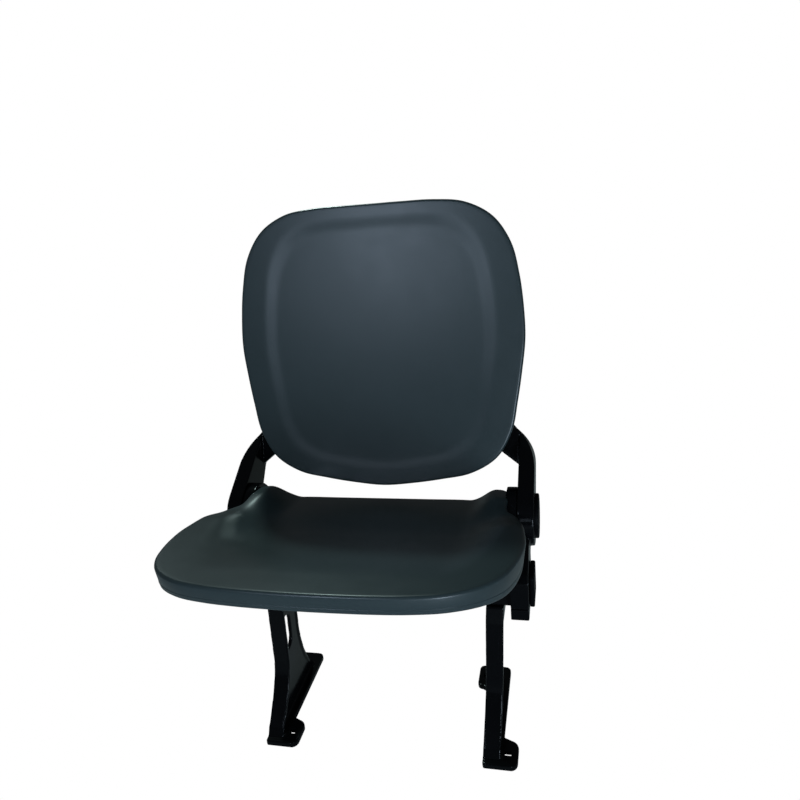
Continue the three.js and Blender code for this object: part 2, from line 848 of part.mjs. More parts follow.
function backArm() {
  const beyond = armOuterX + overrun;
  let casting = discAlongX(arm.hubRadius, armInnerX, armOuterX, pivotBehindBeam, pivotHeight)
    .add(armSide().intersect(sweepZone()))
    .add(footSolid())
    .add(stopBlock())
    .add(fromBackFrame(neckAndPad()))
    .subtract(discAlongX(pin.radius + gap, stopInnerX, beyond, pivotBehindBeam, pivotHeight, roundFacets))
    .subtract(discAlongX(arm.recessRadius, recessX, beyond, pivotBehindBeam, pivotHeight));
  for (const { across, below } of backScrewPlaces) {
    const hole = rodAlongZ(backScrew.radius + gap, padRear - overrun, padFront + overrun, across, -below);
    casting = casting.subtract(fromBackFrame(hole));
  }
  for (const y of [-clampBoltReach, clampBoltReach]) {
    casting = casting.subtract(
      rodAlongZ(clampBolt.radius + gap, footBottom - overrun, clampBoltSeat + clampBolt.length, clampX, y),
    );
  }
  return casting;
}

// Clamp jaw under the beam

function clampJaw() {
  const inner = beamFace + gap;
  const lipTop = footBottom - gap;
  let jaw = sidePrism(shapeOf([
    [-footReach, jawBottom],
    [footReach, jawBottom],
    [footReach, lipTop],
    [inner, lipTop],
    [inner, beamBottom - gap],
    [-inner, beamBottom - gap],
    [-inner, lipTop],
    [-footReach, lipTop],
  ]), footInnerX, footOuterX);
  for (const y of [-clampBoltReach, clampBoltReach]) {
    jaw = jaw
      .subtract(rodAlongZ(clampBolt.radius + gap, jawBottom - overrun, lipTop + overrun, clampX, y))
      .subtract(rodAlongZ(foot.boltPocketRadius, jawBottom - overrun, clampBoltSeat, clampX, y));
  }
  return jaw;
}

// Rubber buffers on both faces of each stop block

function stopBuffer(startAngle) {
  const gapAngle = gap / stop.outerRadius / degrees;
  const shape = ringSector(
    stop.innerRadius, stop.outerRadius, startAngle + gapAngle, startAngle + stop.bufferAngle,
    pivotBehindBeam, pivotHeight,
  );
  return sidePrism(shape, stopInnerX, armInnerX - gap);
}

// Beam and its end caps

const legBoltPlaces = [-legBolt.spread / 2, legBolt.spread / 2];
const legCentre = beamLength / 2 - leg.fromBeamEnd;
const legCentres = [-legCentre, legCentre];

function mainBeam() {
  const section = roundedRectangle(beam.size, beam.size, beam.corner);
  const hollow = beam.size - 2 * beam.wall;
  section.holes.push(roundedRectangle(hollow, hollow, beam.corner - beam.wall));
  let tube = sidePrism(section, -beamLength / 2, beamLength / 2).translate([0, 0, beam.axisHeight]);
  for (const x of legCentres) {
    for (const y of legBoltPlaces) {
      tube = tube.subtract(
        rodAlongZ(legBolt.radius + gap, beamBottom - overrun, beamTop + overrun, x + leg.lean, y),
      );
    }
  }
  return tube;
}

function beamCapSolid() {
  const start = beamLength / 2 + gap;
  const outside = beam.size - 2 * beam.wall - 2 * gap;
  const plateSection = roundedRectangle(beam.size, beam.size, beam.corner);
  const plate = sidePrism(plateSection, start, start + beamCap.thickness);
  const spigotSection = roundedRectangle(outside, outside, beam.corner - beam.wall);
  const inside = outside - 2 * beamCap.spigotWall;
  spigotSection.holes.push(roundedRectangle(inside, inside, beam.corner - beam.wall));
  const spigot = sidePrism(spigotSection, start - beamCap.spigotLength, start + beamCap.thickness / 2);
  return plate.add(spigot).translate([0, 0, beam.axisHeight]);
}

// Leg: an I-section strut on a long sole with a toe pad to the right and a heel pad to the left

const legTop = beamBottom - gap;
const soleToeReach = leg.toeReach + sole.toePastStrut;
const heelFront = sole.heelReach - sole.heelLength / 2;

function legProfile() {
  const shape = new THREE.Shape();
  shape.moveTo(-leg.headSetback, legTop);
  shape.lineTo(-leg.frontSetback, legTop - leg.headHeight);
  shape.lineTo(-leg.frontSetback, leg.kneeHeight);
  shape.quadraticCurveTo(
    -leg.kneeControlSetback, leg.kneeControlHeight, -leg.toeReach + leg.toeSlope, leg.toeRise,
  );
  shape.lineTo(-leg.toeReach, sole.thickness);
  shape.lineTo(-leg.toeReach, 0);
  shape.lineTo(heelFront, 0);
  shape.lineTo(heelFront, sole.thickness);
  shape.quadraticCurveTo(leg.heelControlReach, leg.heelControlHeight, leg.rearReach, leg.waistHeight);
  shape.lineTo(leg.rearReach, leg.shoulderHeight);
  shape.lineTo(leg.headReach, legTop - leg.headHeight);
  shape.lineTo(leg.headReach, legTop);
  return shape;
}

// The toe pad reaches out to the right and the heel pad to the left
function soleShape() {
  const half = leg.width / 2;
  const toeFront = -soleToeReach;
  const toeRear = toeFront + sole.toeLength;
  const heelRear = sole.heelReach;
  const heelStart = heelRear - sole.heelLength;
  const right = half + sole.toeOverhang;
  const left = -half - sole.heelOverhang;
  const strip = half + sole.stripOverhang;
  const turn = sole.toeRearTurn * degrees;
  const { toeCorner, toeRearCorner, tipCorner, heelCorner } = sole;
  const shape = new THREE.Shape();
  shape.moveTo(-half + tipCorner, toeFront);
  shape.absarc(right - toeCorner, toeFront + toeCorner, toeCorner, -Math.PI / 2, 0, false);
  shape.absarc(right - toeRearCorner, toeRear - toeRearCorner, toeRearCorner, 0, turn, false);
  shape.lineTo(strip, toeRear + sole.toeSlant);
  shape.absarc(strip - heelCorner, heelRear - heelCorner, heelCorner, 0, Math.PI / 2, false);
  shape.absarc(left + heelCorner, heelRear - heelCorner, heelCorner, Math.PI / 2, Math.PI, false);
  shape.absarc(left + heelCorner, heelStart + heelCorner, heelCorner, Math.PI, 1.5 * Math.PI, false);
  shape.lineTo(-half, heelStart - heelCorner);
  shape.absarc(-half + tipCorner, toeFront + tipCorner, tipCorner, Math.PI, 1.5 * Math.PI, false);
  return shape;
}

function windowShape() {
  const radius = leg.windowWidth / 2;
  const shape = new THREE.Shape();
  shape.absarc(-leg.windowSetback, leg.windowLow + radius, radius, Math.PI, 2 * Math.PI, false);
  shape.absarc(-leg.windowSetback, leg.windowHigh - radius, radius, 0, Math.PI, false);
  return shape;
}

// The strut leans to the right as it rises from its sole
function leaning(solid) {
  const slope = leg.lean / legTop;
  const lean = new THREE.Matrix4().set(1, 0, slope, 0, 0, 1, 0, 0, 0, 0, 1, 0, 0, 0, 0, 1);
  return solid.transform(lean.toArray());
}

function slotAt(x, y, top) {
  const [a, b] = [sole.slotWidth / 2, sole.slotLength / 2];
  return block(x - a, x + a, y - b, y + b, -overrun, top);
}

function legSolid() {
  const half = leg.width / 2;
  const profile = legProfile();
  const strut = sidePrism(profile, -half, half);
  const corners = profile.getPoints(cornerSteps).map(({ x, y }) => new THREE.Vector2(x, y));
  if (THREE.ShapeUtils.area(corners) < 0) corners.reverse();
  const pocketShape = new THREE.Shape(insetOutline(corners, leg.flange));
  const reach = soleToeReach + sole.heelReach;
  const rearHalf = leg.rearFlangeWidth / 2;
  const rearStart = -leg.frontSetback + leg.flange;
  const side = half + overrun;
  const pocketTop = legTop - leg.headHeight;
  const zone = block(-side, side, -reach, reach, sole.thickness, pocketTop);
  const rightPocket = sidePrism(pocketShape, leg.web / 2, side).intersect(zone);
  const leftPocket = sidePrism(pocketShape, -side, -leg.web / 2).intersect(zone);
  const window = sidePrism(windowShape(), -half, half);
  const open = strut
    .subtract(rightPocket)
    .subtract(leftPocket)
    .subtract(window)
    .subtract(block(rearHalf, side, rearStart, reach, sole.thickness, pocketTop))
    .subtract(block(-side, -rearHalf, rearStart, reach, sole.thickness, pocketTop));
  const holeTop = sole.thickness + overrun;
  const slotX = half + sole.slotFromStrut;
  const slotY = -soleToeReach + sole.slotFromToe;
  const heelSlotY = sole.heelReach - sole.heelLength / 2;
  let casting = leaning(open)
    .add(uprightPrism(soleShape(), 0, sole.thickness))
    .subtract(slotAt(slotX, slotY, holeTop))
    .subtract(slotAt(-slotX, heelSlotY, holeTop));
  for (const y of legBoltPlaces) {
    casting = casting.subtract(
      rodAlongZ(legBolt.radius + gap, beamTop - legBolt.length - gap, legTop + overrun, leg.lean, y),
    );
  }
  return casting;
}

// Assembly

const assembly = new THREE.Group();

function buildFrame() {
  const frame = new THREE.Group();
  assembly.add(frame);
  addPiece(frame, 'main_beam', geometryOf(mainBeam()), blackPaint);
  addPair(frame, 'beam_cap', beamCapSolid(), blackPlastic);
  const legGeometry = geometryOf(legSolid());
  const names = ['left', 'right'];
  legCentres.forEach((x, side) => {
    addPiece(frame, `leg_${names[side]}`, legGeometry, blackPaint).position.x = x;
    legBoltPlaces.forEach((y, row) => {
      const bolt = geometryOf(hexBolt(legBolt, beamTop + gap, x + leg.lean, y, true));
      addPiece(frame, `leg_bolt_${names[side]}_${['front', 'rear'][row]}`, bolt, zincSteel);
    });
  });
  addPair(frame, 'back_arm', backArm(), blackPaint);
  addPair(frame, 'clamp_jaw', clampJaw(), blackPaint);
  [-clampBoltReach, clampBoltReach].forEach((y, row) => {
    const bolt = hexBolt(clampBolt, clampBoltSeat - gap, clampX, y, false);
    addPair(frame, `clamp_bolt_${['front', 'rear'][row]}`, bolt, zincSteel);
  });
  addPair(frame, 'pivot_pin', pivotPin(), zincSteel);
  addPair(frame, 'pivot_clip', pivotClip(), zincSteel);
  addPair(frame, 'pivot_cap', pivotCapSolid(), blackPlastic);
  addPair(frame, 'down_stop_buffer', stopBuffer(stop.startAngle - stop.bufferAngle), blackRubber);
  addPair(frame, 'up_stop_buffer', stopBuffer(stop.endAngle), blackRubber);
}

function buildBackrest() {
  const backrest = new THREE.Group();
  backrest.position.set(0, backBehindBeam, backHeight);
  backrest.rotation.x = (upright - back.recline) * degrees;
  assembly.add(backrest);
  addPiece(backrest, 'backrest_panel', geometryOf(backPanel()), slatePlastic);
  backScrewPlaces.forEach(({ across, below }, row) => {
    const screw = screwUp(backScrew, padRear - gap, across, -below);
    addPair(backrest, `back_screw_${['upper', 'lower'][row]}`, screw, zincSteel);
  });
}

function buildSeat() {
  const tippingSeat = new THREE.Group();
  tippingSeat.position.set(0, pivotBehindBeam, pivotHeight);
  tippingSeat.rotation.x = -seat.tilt * degrees;
  assembly.add(tippingSeat);
  addPiece(tippingSeat, 'seat_panel', geometryOf(seatPanel()), slatePlastic);
  addPair(tippingSeat, 'hinge_arm', hingeArm(), blackPaint);
  seatScrewPlaces.forEach((y, row) => {
    const screw = screwUp(seatScrew, seatPlateBottom - gap, seatScrewX, y);
    addPair(tippingSeat, `seat_screw_${['rear', 'middle', 'front'][row]}`, screw, zincSteel);
  });
  addPair(assembly, 'pivot_bush', pivotBush(), nylon);
}

buildFrame();
buildBackrest();
buildSeat();

// The origin is under the middle of the whole seat, on the floor
const bounds = new THREE.Box3().setFromObject(assembly, true);
assembly.position.y = -(bounds.min.y + bounds.max.y) / 2;

export default assembly;
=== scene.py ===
import json
import math

import bmesh
import bpy
import numpy as np
from mathutils import Matrix, Vector


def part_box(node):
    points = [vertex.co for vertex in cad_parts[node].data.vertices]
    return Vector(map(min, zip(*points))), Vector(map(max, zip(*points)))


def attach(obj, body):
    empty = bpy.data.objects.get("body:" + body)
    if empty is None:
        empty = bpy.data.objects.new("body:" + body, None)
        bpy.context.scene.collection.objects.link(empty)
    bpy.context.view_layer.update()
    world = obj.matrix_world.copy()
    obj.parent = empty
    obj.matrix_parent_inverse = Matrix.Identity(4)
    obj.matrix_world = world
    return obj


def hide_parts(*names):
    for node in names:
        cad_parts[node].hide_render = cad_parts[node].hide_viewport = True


MM = 0.001
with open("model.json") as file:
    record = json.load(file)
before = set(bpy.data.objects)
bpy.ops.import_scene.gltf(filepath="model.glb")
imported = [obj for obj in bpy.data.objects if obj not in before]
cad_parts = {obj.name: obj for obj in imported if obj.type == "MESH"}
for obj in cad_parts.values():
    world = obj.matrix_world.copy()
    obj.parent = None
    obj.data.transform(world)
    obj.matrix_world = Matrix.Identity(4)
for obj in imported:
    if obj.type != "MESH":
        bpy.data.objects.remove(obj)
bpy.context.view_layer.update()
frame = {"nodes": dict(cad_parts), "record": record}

# Where the beam's axis lies behind the origin
beam_low, beam_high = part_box("main_beam")
BEAM_Y = (beam_low.y + beam_high.y) / 2 / MM

# Driving dimensions

GAP = 0.3
OVERRUN = 3
OVERLAP = 1
UPRIGHT = 90
HALF_TURN = 180
FULL_TURN = 360
TIP_RANGE = 72

SEAT_WIDTH = 470
SEAT_DEPTH = 383
SEAT_BEHIND_PIVOT = 34.5
SEAT_TILT = 8
SEAT_RIM_ABOVE_PIVOT = 36
SEAT_RIM_THICKNESS = 24
SEAT_THICKNESS = 36
SEAT_DISH = 25
FLOOR_FROM_SIDE = 99
SLOPE_WIDTH_FRONT = 76
SLOPE_WIDTH_REAR = 47
FLOOR_FRONT_Y = -65
SLOPE_LENGTH = 235
SLOPE_NARROWS_FROM = -150
SLOPE_NARROWS_TO = 0
RIM_DIP = 8
RIM_DIP_FROM = -140
RIM_DIP_LOWEST = -78
RIM_DIP_TO = -20
THICKENS_FROM = 0
THICKENS_OVER = 125
SEAT_DRAFT = 4
SEAT_EDGE = 4

BACK_SIDE_STEP = 6.5
BACK_HEIGHT = 440
BACK_RECLINE = 12
BACK_ABOVE_PIVOT = 238
BACK_BEHIND_PIVOT = 82
BACK_CENTRE_DROP = 4
BACK_THICKNESS = 22
BACK_STEP = 1.5
BACK_BOWL = 2.5
BACK_DRAFT = 1
BACK_EDGE = 4

# The joint line of the two mould halves, on the panels' edges
PARTING_WIDTH = 0.8
PARTING_DEPTH = 0.3

BEAM_SIZE = 50
BEAM_WALL = 3
BEAM_CORNER = 5
BEAM_HEIGHT = 258
PIVOT_ABOVE_BEAM = 82
PIVOT_BEHIND_BEAM = 53
BEAM_CAP_THICKNESS = 7
BEAM_CAP_EDGE = 2
BEAM_CAP_RIM = 6
BEAM_CAP_DISH = 1
SPIGOT_LENGTH = 16
SPIGOT_WALL = 2.5

LEG_FROM_BEAM_END = 60
LEG_WIDTH = 26
LEG_WEB = 6
LEG_FLANGE = 6
LEG_REAR_FLANGE = 10
LEG_LEAN = 10
LEG_HEAD_SETBACK = 27
LEG_FRONT_SETBACK = 33
LEG_REAR_REACH = 40
LEG_HEAD_REACH = 25
LEG_SHOULDER_HEIGHT = 165
LEG_WAIST_HEIGHT = 122
HEEL_CONTROL_HEIGHT = 52
HEEL_CONTROL_REACH = 48
KNEE_HEIGHT = 112
KNEE_CONTROL_HEIGHT = 76
KNEE_CONTROL_SETBACK = 35
STRUT_TOE_REACH = 86
TOE_RISE = 20
TOE_SLOPE = 5
LEG_HEAD_HEIGHT = 26
WINDOW_WIDTH = 30
WINDOW_LOW = 114
WINDOW_HIGH = 176
WINDOW_SETBACK = 4

SOLE_THICKNESS = 9
STRIP_OVERHANG = 3
TOE_REACH = 97
TOE_OVERHANG = 26
TOE_LENGTH = 50
TOE_CORNER = 12
TOE_REAR_CORNER = 14
TOE_REAR_TURN = 70
TOE_SLANT = 5
TIP_CORNER = 5
HEEL_CORNER = 9
HEEL_OVERHANG = 24
HEEL_LENGTH = 50
HEEL_REACH = 114
SLOT_WIDTH = 10
SLOT_LENGTH = 10
SLOT_FROM_STRUT = 10.5
SLOT_FROM_TOE = 25.5

HUB_RADIUS = 42
HUB_FROM_SIDE = 37
HUB_WIDTH = 16
HUB_BORE = 13
CLIP_POCKET = 3.5
CLIP_POCKET_RADIUS = 15
NOTCH_CLEARANCE = 2
NOTCH_SIDE = 0.6

PLATE_WIDTH = 36
PLATE_FROM_HUB = 4
PLATE_FROM_SEAT_FRONT = 190.5
PLATE_THICKNESS = 8
PLATE_WEB = 8
PLATE_WEB_DEPTH = 30

STOP_INNER = 44
STOP_OUTER = 53
STOP_START = 228
STOP_END = 258
LUG_ANGLE = 15
BUFFER_ANGLE = 5
STOP_FROM_HUB_FACE = 3
BUFFER_EDGE = 0.6

BUSH_WALL = 2.4
BUSH_FLANGE_RADIUS = 18
BUSH_FLANGE = 2.1
BUSH_PROUD = 0.3
BUSH_CHAMFER = 0.3

PIN_RADIUS = 10
PIN_HEAD_RADIUS = 16
PIN_HEAD_LENGTH = 5.5
PIN_CHAMFER = 1
PIN_GROOVE = 1.4
CLIP_RADIUS = 13
CLIP_THICKNESS = 1.3
CLIP_OPENING = 70
CLIP_EDGE = 0.15

ARM_THICKNESS = 24
ARM_HUB_RADIUS = 44
ARM_RECESS_RADIUS = 29
ARM_RECESS_DEPTH = 8
ARM_WAIST_BEHIND = 46
ARM_WAIST_ABOVE = 10
SHOULDER_BELOW = 138
ELBOW_BELOW = 187
PAD_THICKNESS = 12
NECK_ANGLE = 117
UNDERSIDE_ANGLE = -25

# Corners of the arm's pad and its screws: in from the arm's outer side and below the backrest's middle
PAD_CORNERS = [(58.5, 92), (80.5, 84), (93.5, 98), (86.5, 140), (50.5, 166)]
BACK_SCREW_CORNERS = {"upper": (75.5, 104), "lower": (65.5, 141)}

# The curve in which the arm's outer side sweeps over to the pad
SWEEP_START_BELOW = 184
SWEEP_CONTROL_BELOW = 153
SWEEP_END_INSET = 27
SWEEP_END_BELOW = 130

FOOT_WIDTH = 26
FOOT_FROM_HUB_FACE = 7
FOOT_LEG = 16
FOOT_ROOF = 12
JAW_THICKNESS = 10.5
JAW_LIP = 8
BOLT_POCKET_RADIUS = 6.3
BOLT_POCKET_DEPTH = 4.5
GUSSET_FRONT_ANGLE = 200
GUSSET_REAR_ANGLE = 310

CAP_RADIUS = 33
CAP_THICKNESS = 5.5
CAP_EDGE = 2
CAP_DISH = 1.2
CAP_RING = 24

LEG_BOLT = {"radius": 4, "head_radius": 7.5, "head_length": 5.3, "length": 70, "pitch": 1.25}
CLAMP_BOLT = {"radius": 3, "head_radius": 5.8, "head_length": 4.2, "length": 32, "pitch": 1}
BOLT_CHAMFER = 0.8
LEG_BOLT_SPREAD = 26
SCREW_RADIUS = 3
SCREW_HEAD_RADIUS = 6
SCREW_HEAD_LENGTH = 3.6
SCREW_PITCH = 2.2
SCREW_SLOT_WIDTH = 1.4
SCREW_SLOT_LENGTH = 7
SCREW_SLOT_DEPTH = 2
SEAT_SCREW_LENGTH = 25
BACK_SCREW_LENGTH = 22
THREAD_DEPTH = 0.6

# Recessed fields of the seat's underside and of the backrest's rear, and the ribs across them
SEAT_FIELD = {"half_width": 128, "low": -300, "high": -20, "depth": 4, "blend": 14}
SEAT_RIBS = {"across": (-62, 0, 62), "along": (-160,), "half": 3, "blend": 12}
BACK_FIELD = {"half_width": 122, "low": -165, "high": 165, "depth": 4, "blend": 14}
BACK_RIBS = {"across": (-60, 60), "along": (-55, 55), "half": 3, "blend": 12}

# Half outlines from the middle of the front or lower edge, as shares of half the width and of the depth
SEAT_OUTLINE_SHARES = [
    (0, 0), (0.173, 0.002), (0.345, 0.007), (0.517, 0.019), (0.684, 0.046), (0.832, 0.106), (0.924, 0.188),
    (0.972, 0.283), (0.995, 0.37), (1, 0.43), (0.992, 0.495), (0.97, 0.597), (0.941, 0.675), (0.93, 0.701),
    (0.902, 0.727), (0.869, 0.753), (0.857, 0.79), (0.857, 0.84), (0.857, 0.895), (0.845, 0.922),
    (0.812, 0.94), (0.762, 0.947), (0.7, 0.967), (0.638, 0.991), (0.56, 1), (0.3, 1), (0, 1),
]
BACK_OUTLINE_SHARES = [
    (0, 0), (0.208, 0.009), (0.415, 0.025), (0.618, 0.048), (0.794, 0.105), (0.897, 0.198), (0.94, 0.304),
    (0.973, 0.411), (0.997, 0.519), (0.991, 0.627), (0.967, 0.735), (0.918, 0.84), (0.804, 0.93),
    (0.624, 0.983), (0.418, 0.998), (0.209, 1), (0, 1),
]
# The backrest's inner face as shares of its outline, and the step's share of the way inwards
INNER_FACE_SHARES = {"across": 0.82, "above": 0.93, "below": 0.905}
STEP_SHARE = 0.12
# The seat screws along the hinge arm's plate, and the mould's joint line up the panel's edge
SEAT_SCREW_SHARES = {"rear": 0.12, "middle": 0.5, "front": 0.88}
PARTING_SHARE = 0.3
# The least mitre at a corner of an inset outline, and a screw's flat head and point
CORNER_SHARE = 0.5
CROWN_SHARE = 0.7
POINT_SHARE = 0.33
# How much tighter the dish turns at its rim than at its floor
RIDGE_POWER = 1.15

# Fineness of the meshes as counts, the angle of an edge that stays sharp and the weld's reach
SPAN_STEPS = 8
TOP_RINGS = 56
EDGE_RINGS = 8
BOTTOM_RINGS = 96
ARC_STEPS = 16
TURN_STEPS = 64
BEVEL_STEPS = 3
HEX_SIDES = 6
SHARP_ANGLE = 35
WELD_DISTANCE = 0.001

# Castings: the size of their voxels and how often they are smoothed
CAST_VOXEL = 1.2
CAST_PASSES = 8
SMOOTH_SHARE = 0.5

# Places that follow from the driving dimensions

PIVOT_HEIGHT = BEAM_HEIGHT + PIVOT_ABOVE_BEAM
PIVOT = (PIVOT_BEHIND_BEAM, PIVOT_HEIGHT)
HUB_INNER_X = SEAT_WIDTH / 2 - HUB_FROM_SIDE
HUB_OUTER_X = HUB_INNER_X + HUB_WIDTH
PLATE_OUTER_X = HUB_INNER_X - PLATE_FROM_HUB
PLATE_INNER_X = PLATE_OUTER_X - PLATE_WIDTH
ARM_INNER_X = HUB_OUTER_X + 2 * GAP
ARM_OUTER_X = ARM_INNER_X + ARM_THICKNESS
RECESS_X = ARM_OUTER_X - ARM_RECESS_DEPTH
FOOT_INNER_X = HUB_INNER_X + FOOT_FROM_HUB_FACE
FOOT_OUTER_X = FOOT_INNER_X + FOOT_WIDTH
STOP_X = HUB_INNER_X + STOP_FROM_HUB_FACE
BEAM_LENGTH = 2 * FOOT_OUTER_X
BEAM_BOTTOM = BEAM_HEIGHT - BEAM_SIZE / 2
BEAM_TOP = BEAM_HEIGHT + BEAM_SIZE / 2
BEAM_FACE = BEAM_SIZE / 2 + GAP
LEG_CENTRE = BEAM_LENGTH / 2 - LEG_FROM_BEAM_END
LEG_PLACES = {"left": -LEG_CENTRE, "right": LEG_CENTRE}
LEG_TOP = BEAM_BOTTOM - GAP
SEAT_START = SEAT_BEHIND_PIVOT - SEAT_DEPTH
SEAT_UNDERSIDE = SEAT_RIM_ABOVE_PIVOT - SEAT_THICKNESS
PLATE_LENGTH = -SEAT_START - PLATE_FROM_SEAT_FRONT
PLATE_TOP = SEAT_UNDERSIDE - GAP
PLATE_BOTTOM = PLATE_TOP - PLATE_THICKNESS
SEAT_SCREW_X = (PLATE_INNER_X + PLATE_OUTER_X) / 2
BACK_WIDTH = SEAT_WIDTH - 2 * BACK_SIDE_STEP
BACK_CENTRE_HEIGHT = PIVOT_HEIGHT + BACK_ABOVE_PIVOT
BACK_BEHIND_BEAM = PIVOT_BEHIND_BEAM + BACK_BEHIND_PIVOT
BACK_START = -BACK_HEIGHT / 2 + BACK_CENTRE_DROP
PAD_FRONT = -BACK_THICKNESS - GAP
PAD_REAR = PAD_FRONT - PAD_THICKNESS
FOOT_BOTTOM = BEAM_BOTTOM + JAW_LIP
FOOT_REACH = BEAM_FACE + FOOT_LEG
FOOT_TOP = BEAM_TOP + GAP + FOOT_ROOF
JAW_BOTTOM = BEAM_BOTTOM - GAP - JAW_THICKNESS
CLAMP_X = (FOOT_INNER_X + FOOT_OUTER_X) / 2
CLAMP_REACH = FOOT_REACH - FOOT_LEG / 2
CLAMP_SEAT = JAW_BOTTOM + BOLT_POCKET_DEPTH
CLIP_X = HUB_INNER_X + (CLIP_POCKET - CLIP_THICKNESS) / 2
BUSH_END = HUB_OUTER_X + BUSH_PROUD

# Camera
LENS_MM = 31.5
SENSOR_MM = 36
CAMERA_X = 285.5
CAMERA_BEFORE_BEAM = 885.1
CAMERA_Z = 856.9
CAMERA_YAW = -14.133
CAMERA_PITCH = 18.957
CAMERA_ROLL = -5.429


# Curves and outlines

def smooth_share(value, low, high):
    t = min(max((value - low) / (high - low), 0), 1)
    return t * t * (3 - 2 * t)


def mix(a, b, t):
    return a + (b - a) * t


def closed_curve(knots):
    """Points on a closed curve through the knots, whose spans take the square roots of their lengths."""
    points = []
    count = len(knots)
    for i in range(count):
        before, start, end, after = (knots[(i + step) % count] for step in (-1, 0, 1, 2))
        times = [math.sqrt((b - a).length) for a, b in ((before, start), (start, end), (end, after))]
        slope_start = (start - before) / times[0] - (end - before) / (times[0] + times[1])
        slope_start = (slope_start + (end - start) / times[1]) * times[1]
        slope_end = (end - start) / times[1] - (after - start) / (times[1] + times[2])
        slope_end = (slope_end + (after - end) / times[2]) * times[1]
        for step in range(SPAN_STEPS):
            t = step / SPAN_STEPS
            square, cube = t * t, t * t * t
            points.append(
                start * (2 * cube - 3 * square + 1) + slope_start * (cube - 2 * square + t)
                + end * (3 * square - 2 * cube) + slope_end * (cube - square)
            )
    return points


def panel_outline(shares, width, depth, start):
    half = [Vector((across * width / 2, start + along * depth)) for across, along in shares]
    other = [Vector((-p.x, p.y)) for p in reversed(half[1:-1])]
    return closed_curve(half + other)


def normal_of(a, b):
    return Vector((a.y - b.y, b.x - a.x)).normalized()


def inset_outline(points, distance):
    """The outline moved inwards by the distance, corner by corner; it runs anticlockwise."""
    moved = []
    for i, point in enumerate(points):
        first = normal_of(points[i - 1], point)
        second = normal_of(point, points[(i + 1) % len(points)])
        middle = (first + second).normalized()
        moved.append(point + middle * distance / max(middle.dot(first), CORNER_SHARE))
    return moved


def arc(centre_a, centre_b, radius, start, end, steps=ARC_STEPS):
    """Points on an arc, with its angles in degrees."""
    angles = [math.radians(mix(start, end, i / steps)) for i in range(steps + 1)]
    return [(centre_a + radius * math.cos(t), centre_b + radius * math.sin(t)) for t in angles]


def quarter_arc(centre_a, centre_b, radius, quarter):
    """A quarter of a circle, after so many quarter turns from the first axis."""
    return arc(centre_a, centre_b, radius, quarter * UPRIGHT, (quarter + 1) * UPRIGHT)


def bend(start, control, end):
    """Points on a quadratic curve, its ends included."""
    points = []
    for i in range(ARC_STEPS + 1):
        t = i / ARC_STEPS
        weights = ((1 - t) * (1 - t), 2 * t * (1 - t), t * t)
        points.append(tuple(sum(w * p[k] for w, p in zip(weights, (start, control, end))) for k in (0, 1)))
    return points


def rounded_rectangle(width, height, corner):
    a, b = width / 2 - corner, height / 2 - corner
    corners = ((a, -b, -1), (a, b, 0), (-a, b, 1), (-a, -b, 2))
    return [point for x, y, quarter in corners for point in quarter_arc(x, y, corner, quarter)]


def ring_sector(inner, outer, start, end, y=0, z=0):
    return arc(y, z, outer, start, end) + arc(y, z, inner, end, start)


# Meshes

def mesh_of(points, faces):
    mesh = bpy.data.meshes.new("mesh")
    mesh.from_pydata([tuple(p) for p in points], [], faces)
    mesh.validate()
    return mesh


def prism(outline, low, high, along):
    """A closed prism; along is 'x' for an outline in Y and Z, or 'z' for one in X and Y."""
    count = len(outline)
    place = {"x": lambda a, b, c: (c, a, b), "z": lambda a, b, c: (a, b, c)}[along]
    points = [place(a, b, c) for c in (low, high) for a, b in outline]
    sides = [(i, (i + 1) % count, (i + 1) % count + count, i + count) for i in range(count)]
    ends = [tuple(reversed(range(count))), tuple(range(count, 2 * count))]
    return outward(mesh_of(points, sides + ends))


def block(x0, x1, y0, y1, z0, z1):
    return prism([(x0, y0), (x1, y0), (x1, y1), (x0, y1)], z0, z1, "z")


def turned(profile, along, a=0, b=0):
    """A turned piece: its profile holds pairs of place along the axis and radius."""
    place = {"x": lambda u, v, w: (w, a + u, b + v), "z": lambda u, v, w: (a + u, b + v, w)}[along]
    points, rings = [], []
    for length, radius in profile:
        if radius == 0:
            rings.append([len(points)] * TURN_STEPS)
            points.append(place(0, 0, length))
            continue
        rings.append([len(points) + i for i in range(TURN_STEPS)])
        for i in range(TURN_STEPS):
            t = 2 * math.pi * i / TURN_STEPS
            points.append(place(radius * math.cos(t), radius * math.sin(t), length))
    faces = []
    for first, second in zip(rings, rings[1:]):
        for i in range(TURN_STEPS):
            j = (i + 1) % TURN_STEPS
            corners = [first[i], first[j], second[j], second[i]]
            face = list(dict.fromkeys(corners))
            if len(face) > 2:
                faces.append(face)
    return outward(mesh_of(points, faces))


def tube(profile, along, a=0, b=0):
    """A turned piece with a bore: its profile is a closed loop that stays off the axis."""
    mesh = turned([*profile, profile[0]], along, a, b)
    return outward(welded(mesh))


def disc(radius, low, high, along, a=0, b=0):
    return turned([(low, 0), (low, radius), (high, radius), (high, 0)], along, a, b)


def welded(mesh):
    data = bmesh.new()
    data.from_mesh(mesh)
    bmesh.ops.remove_doubles(data, verts=data.verts, dist=WELD_DISTANCE)
    data.to_mesh(mesh)
    data.free()
    return mesh


def outward(mesh):
    data = bmesh.new()
    data.from_mesh(mesh)
    bmesh.ops.recalc_face_normals(data, faces=data.faces)
    data.to_mesh(mesh)
    data.free()
    return mesh


def joined(*meshes):
    data = bmesh.new()
    for mesh in meshes:
        data.from_mesh(mesh)
    mesh = bpy.data.meshes.new("mesh")
    data.to_mesh(mesh)
    data.free()
    return mesh


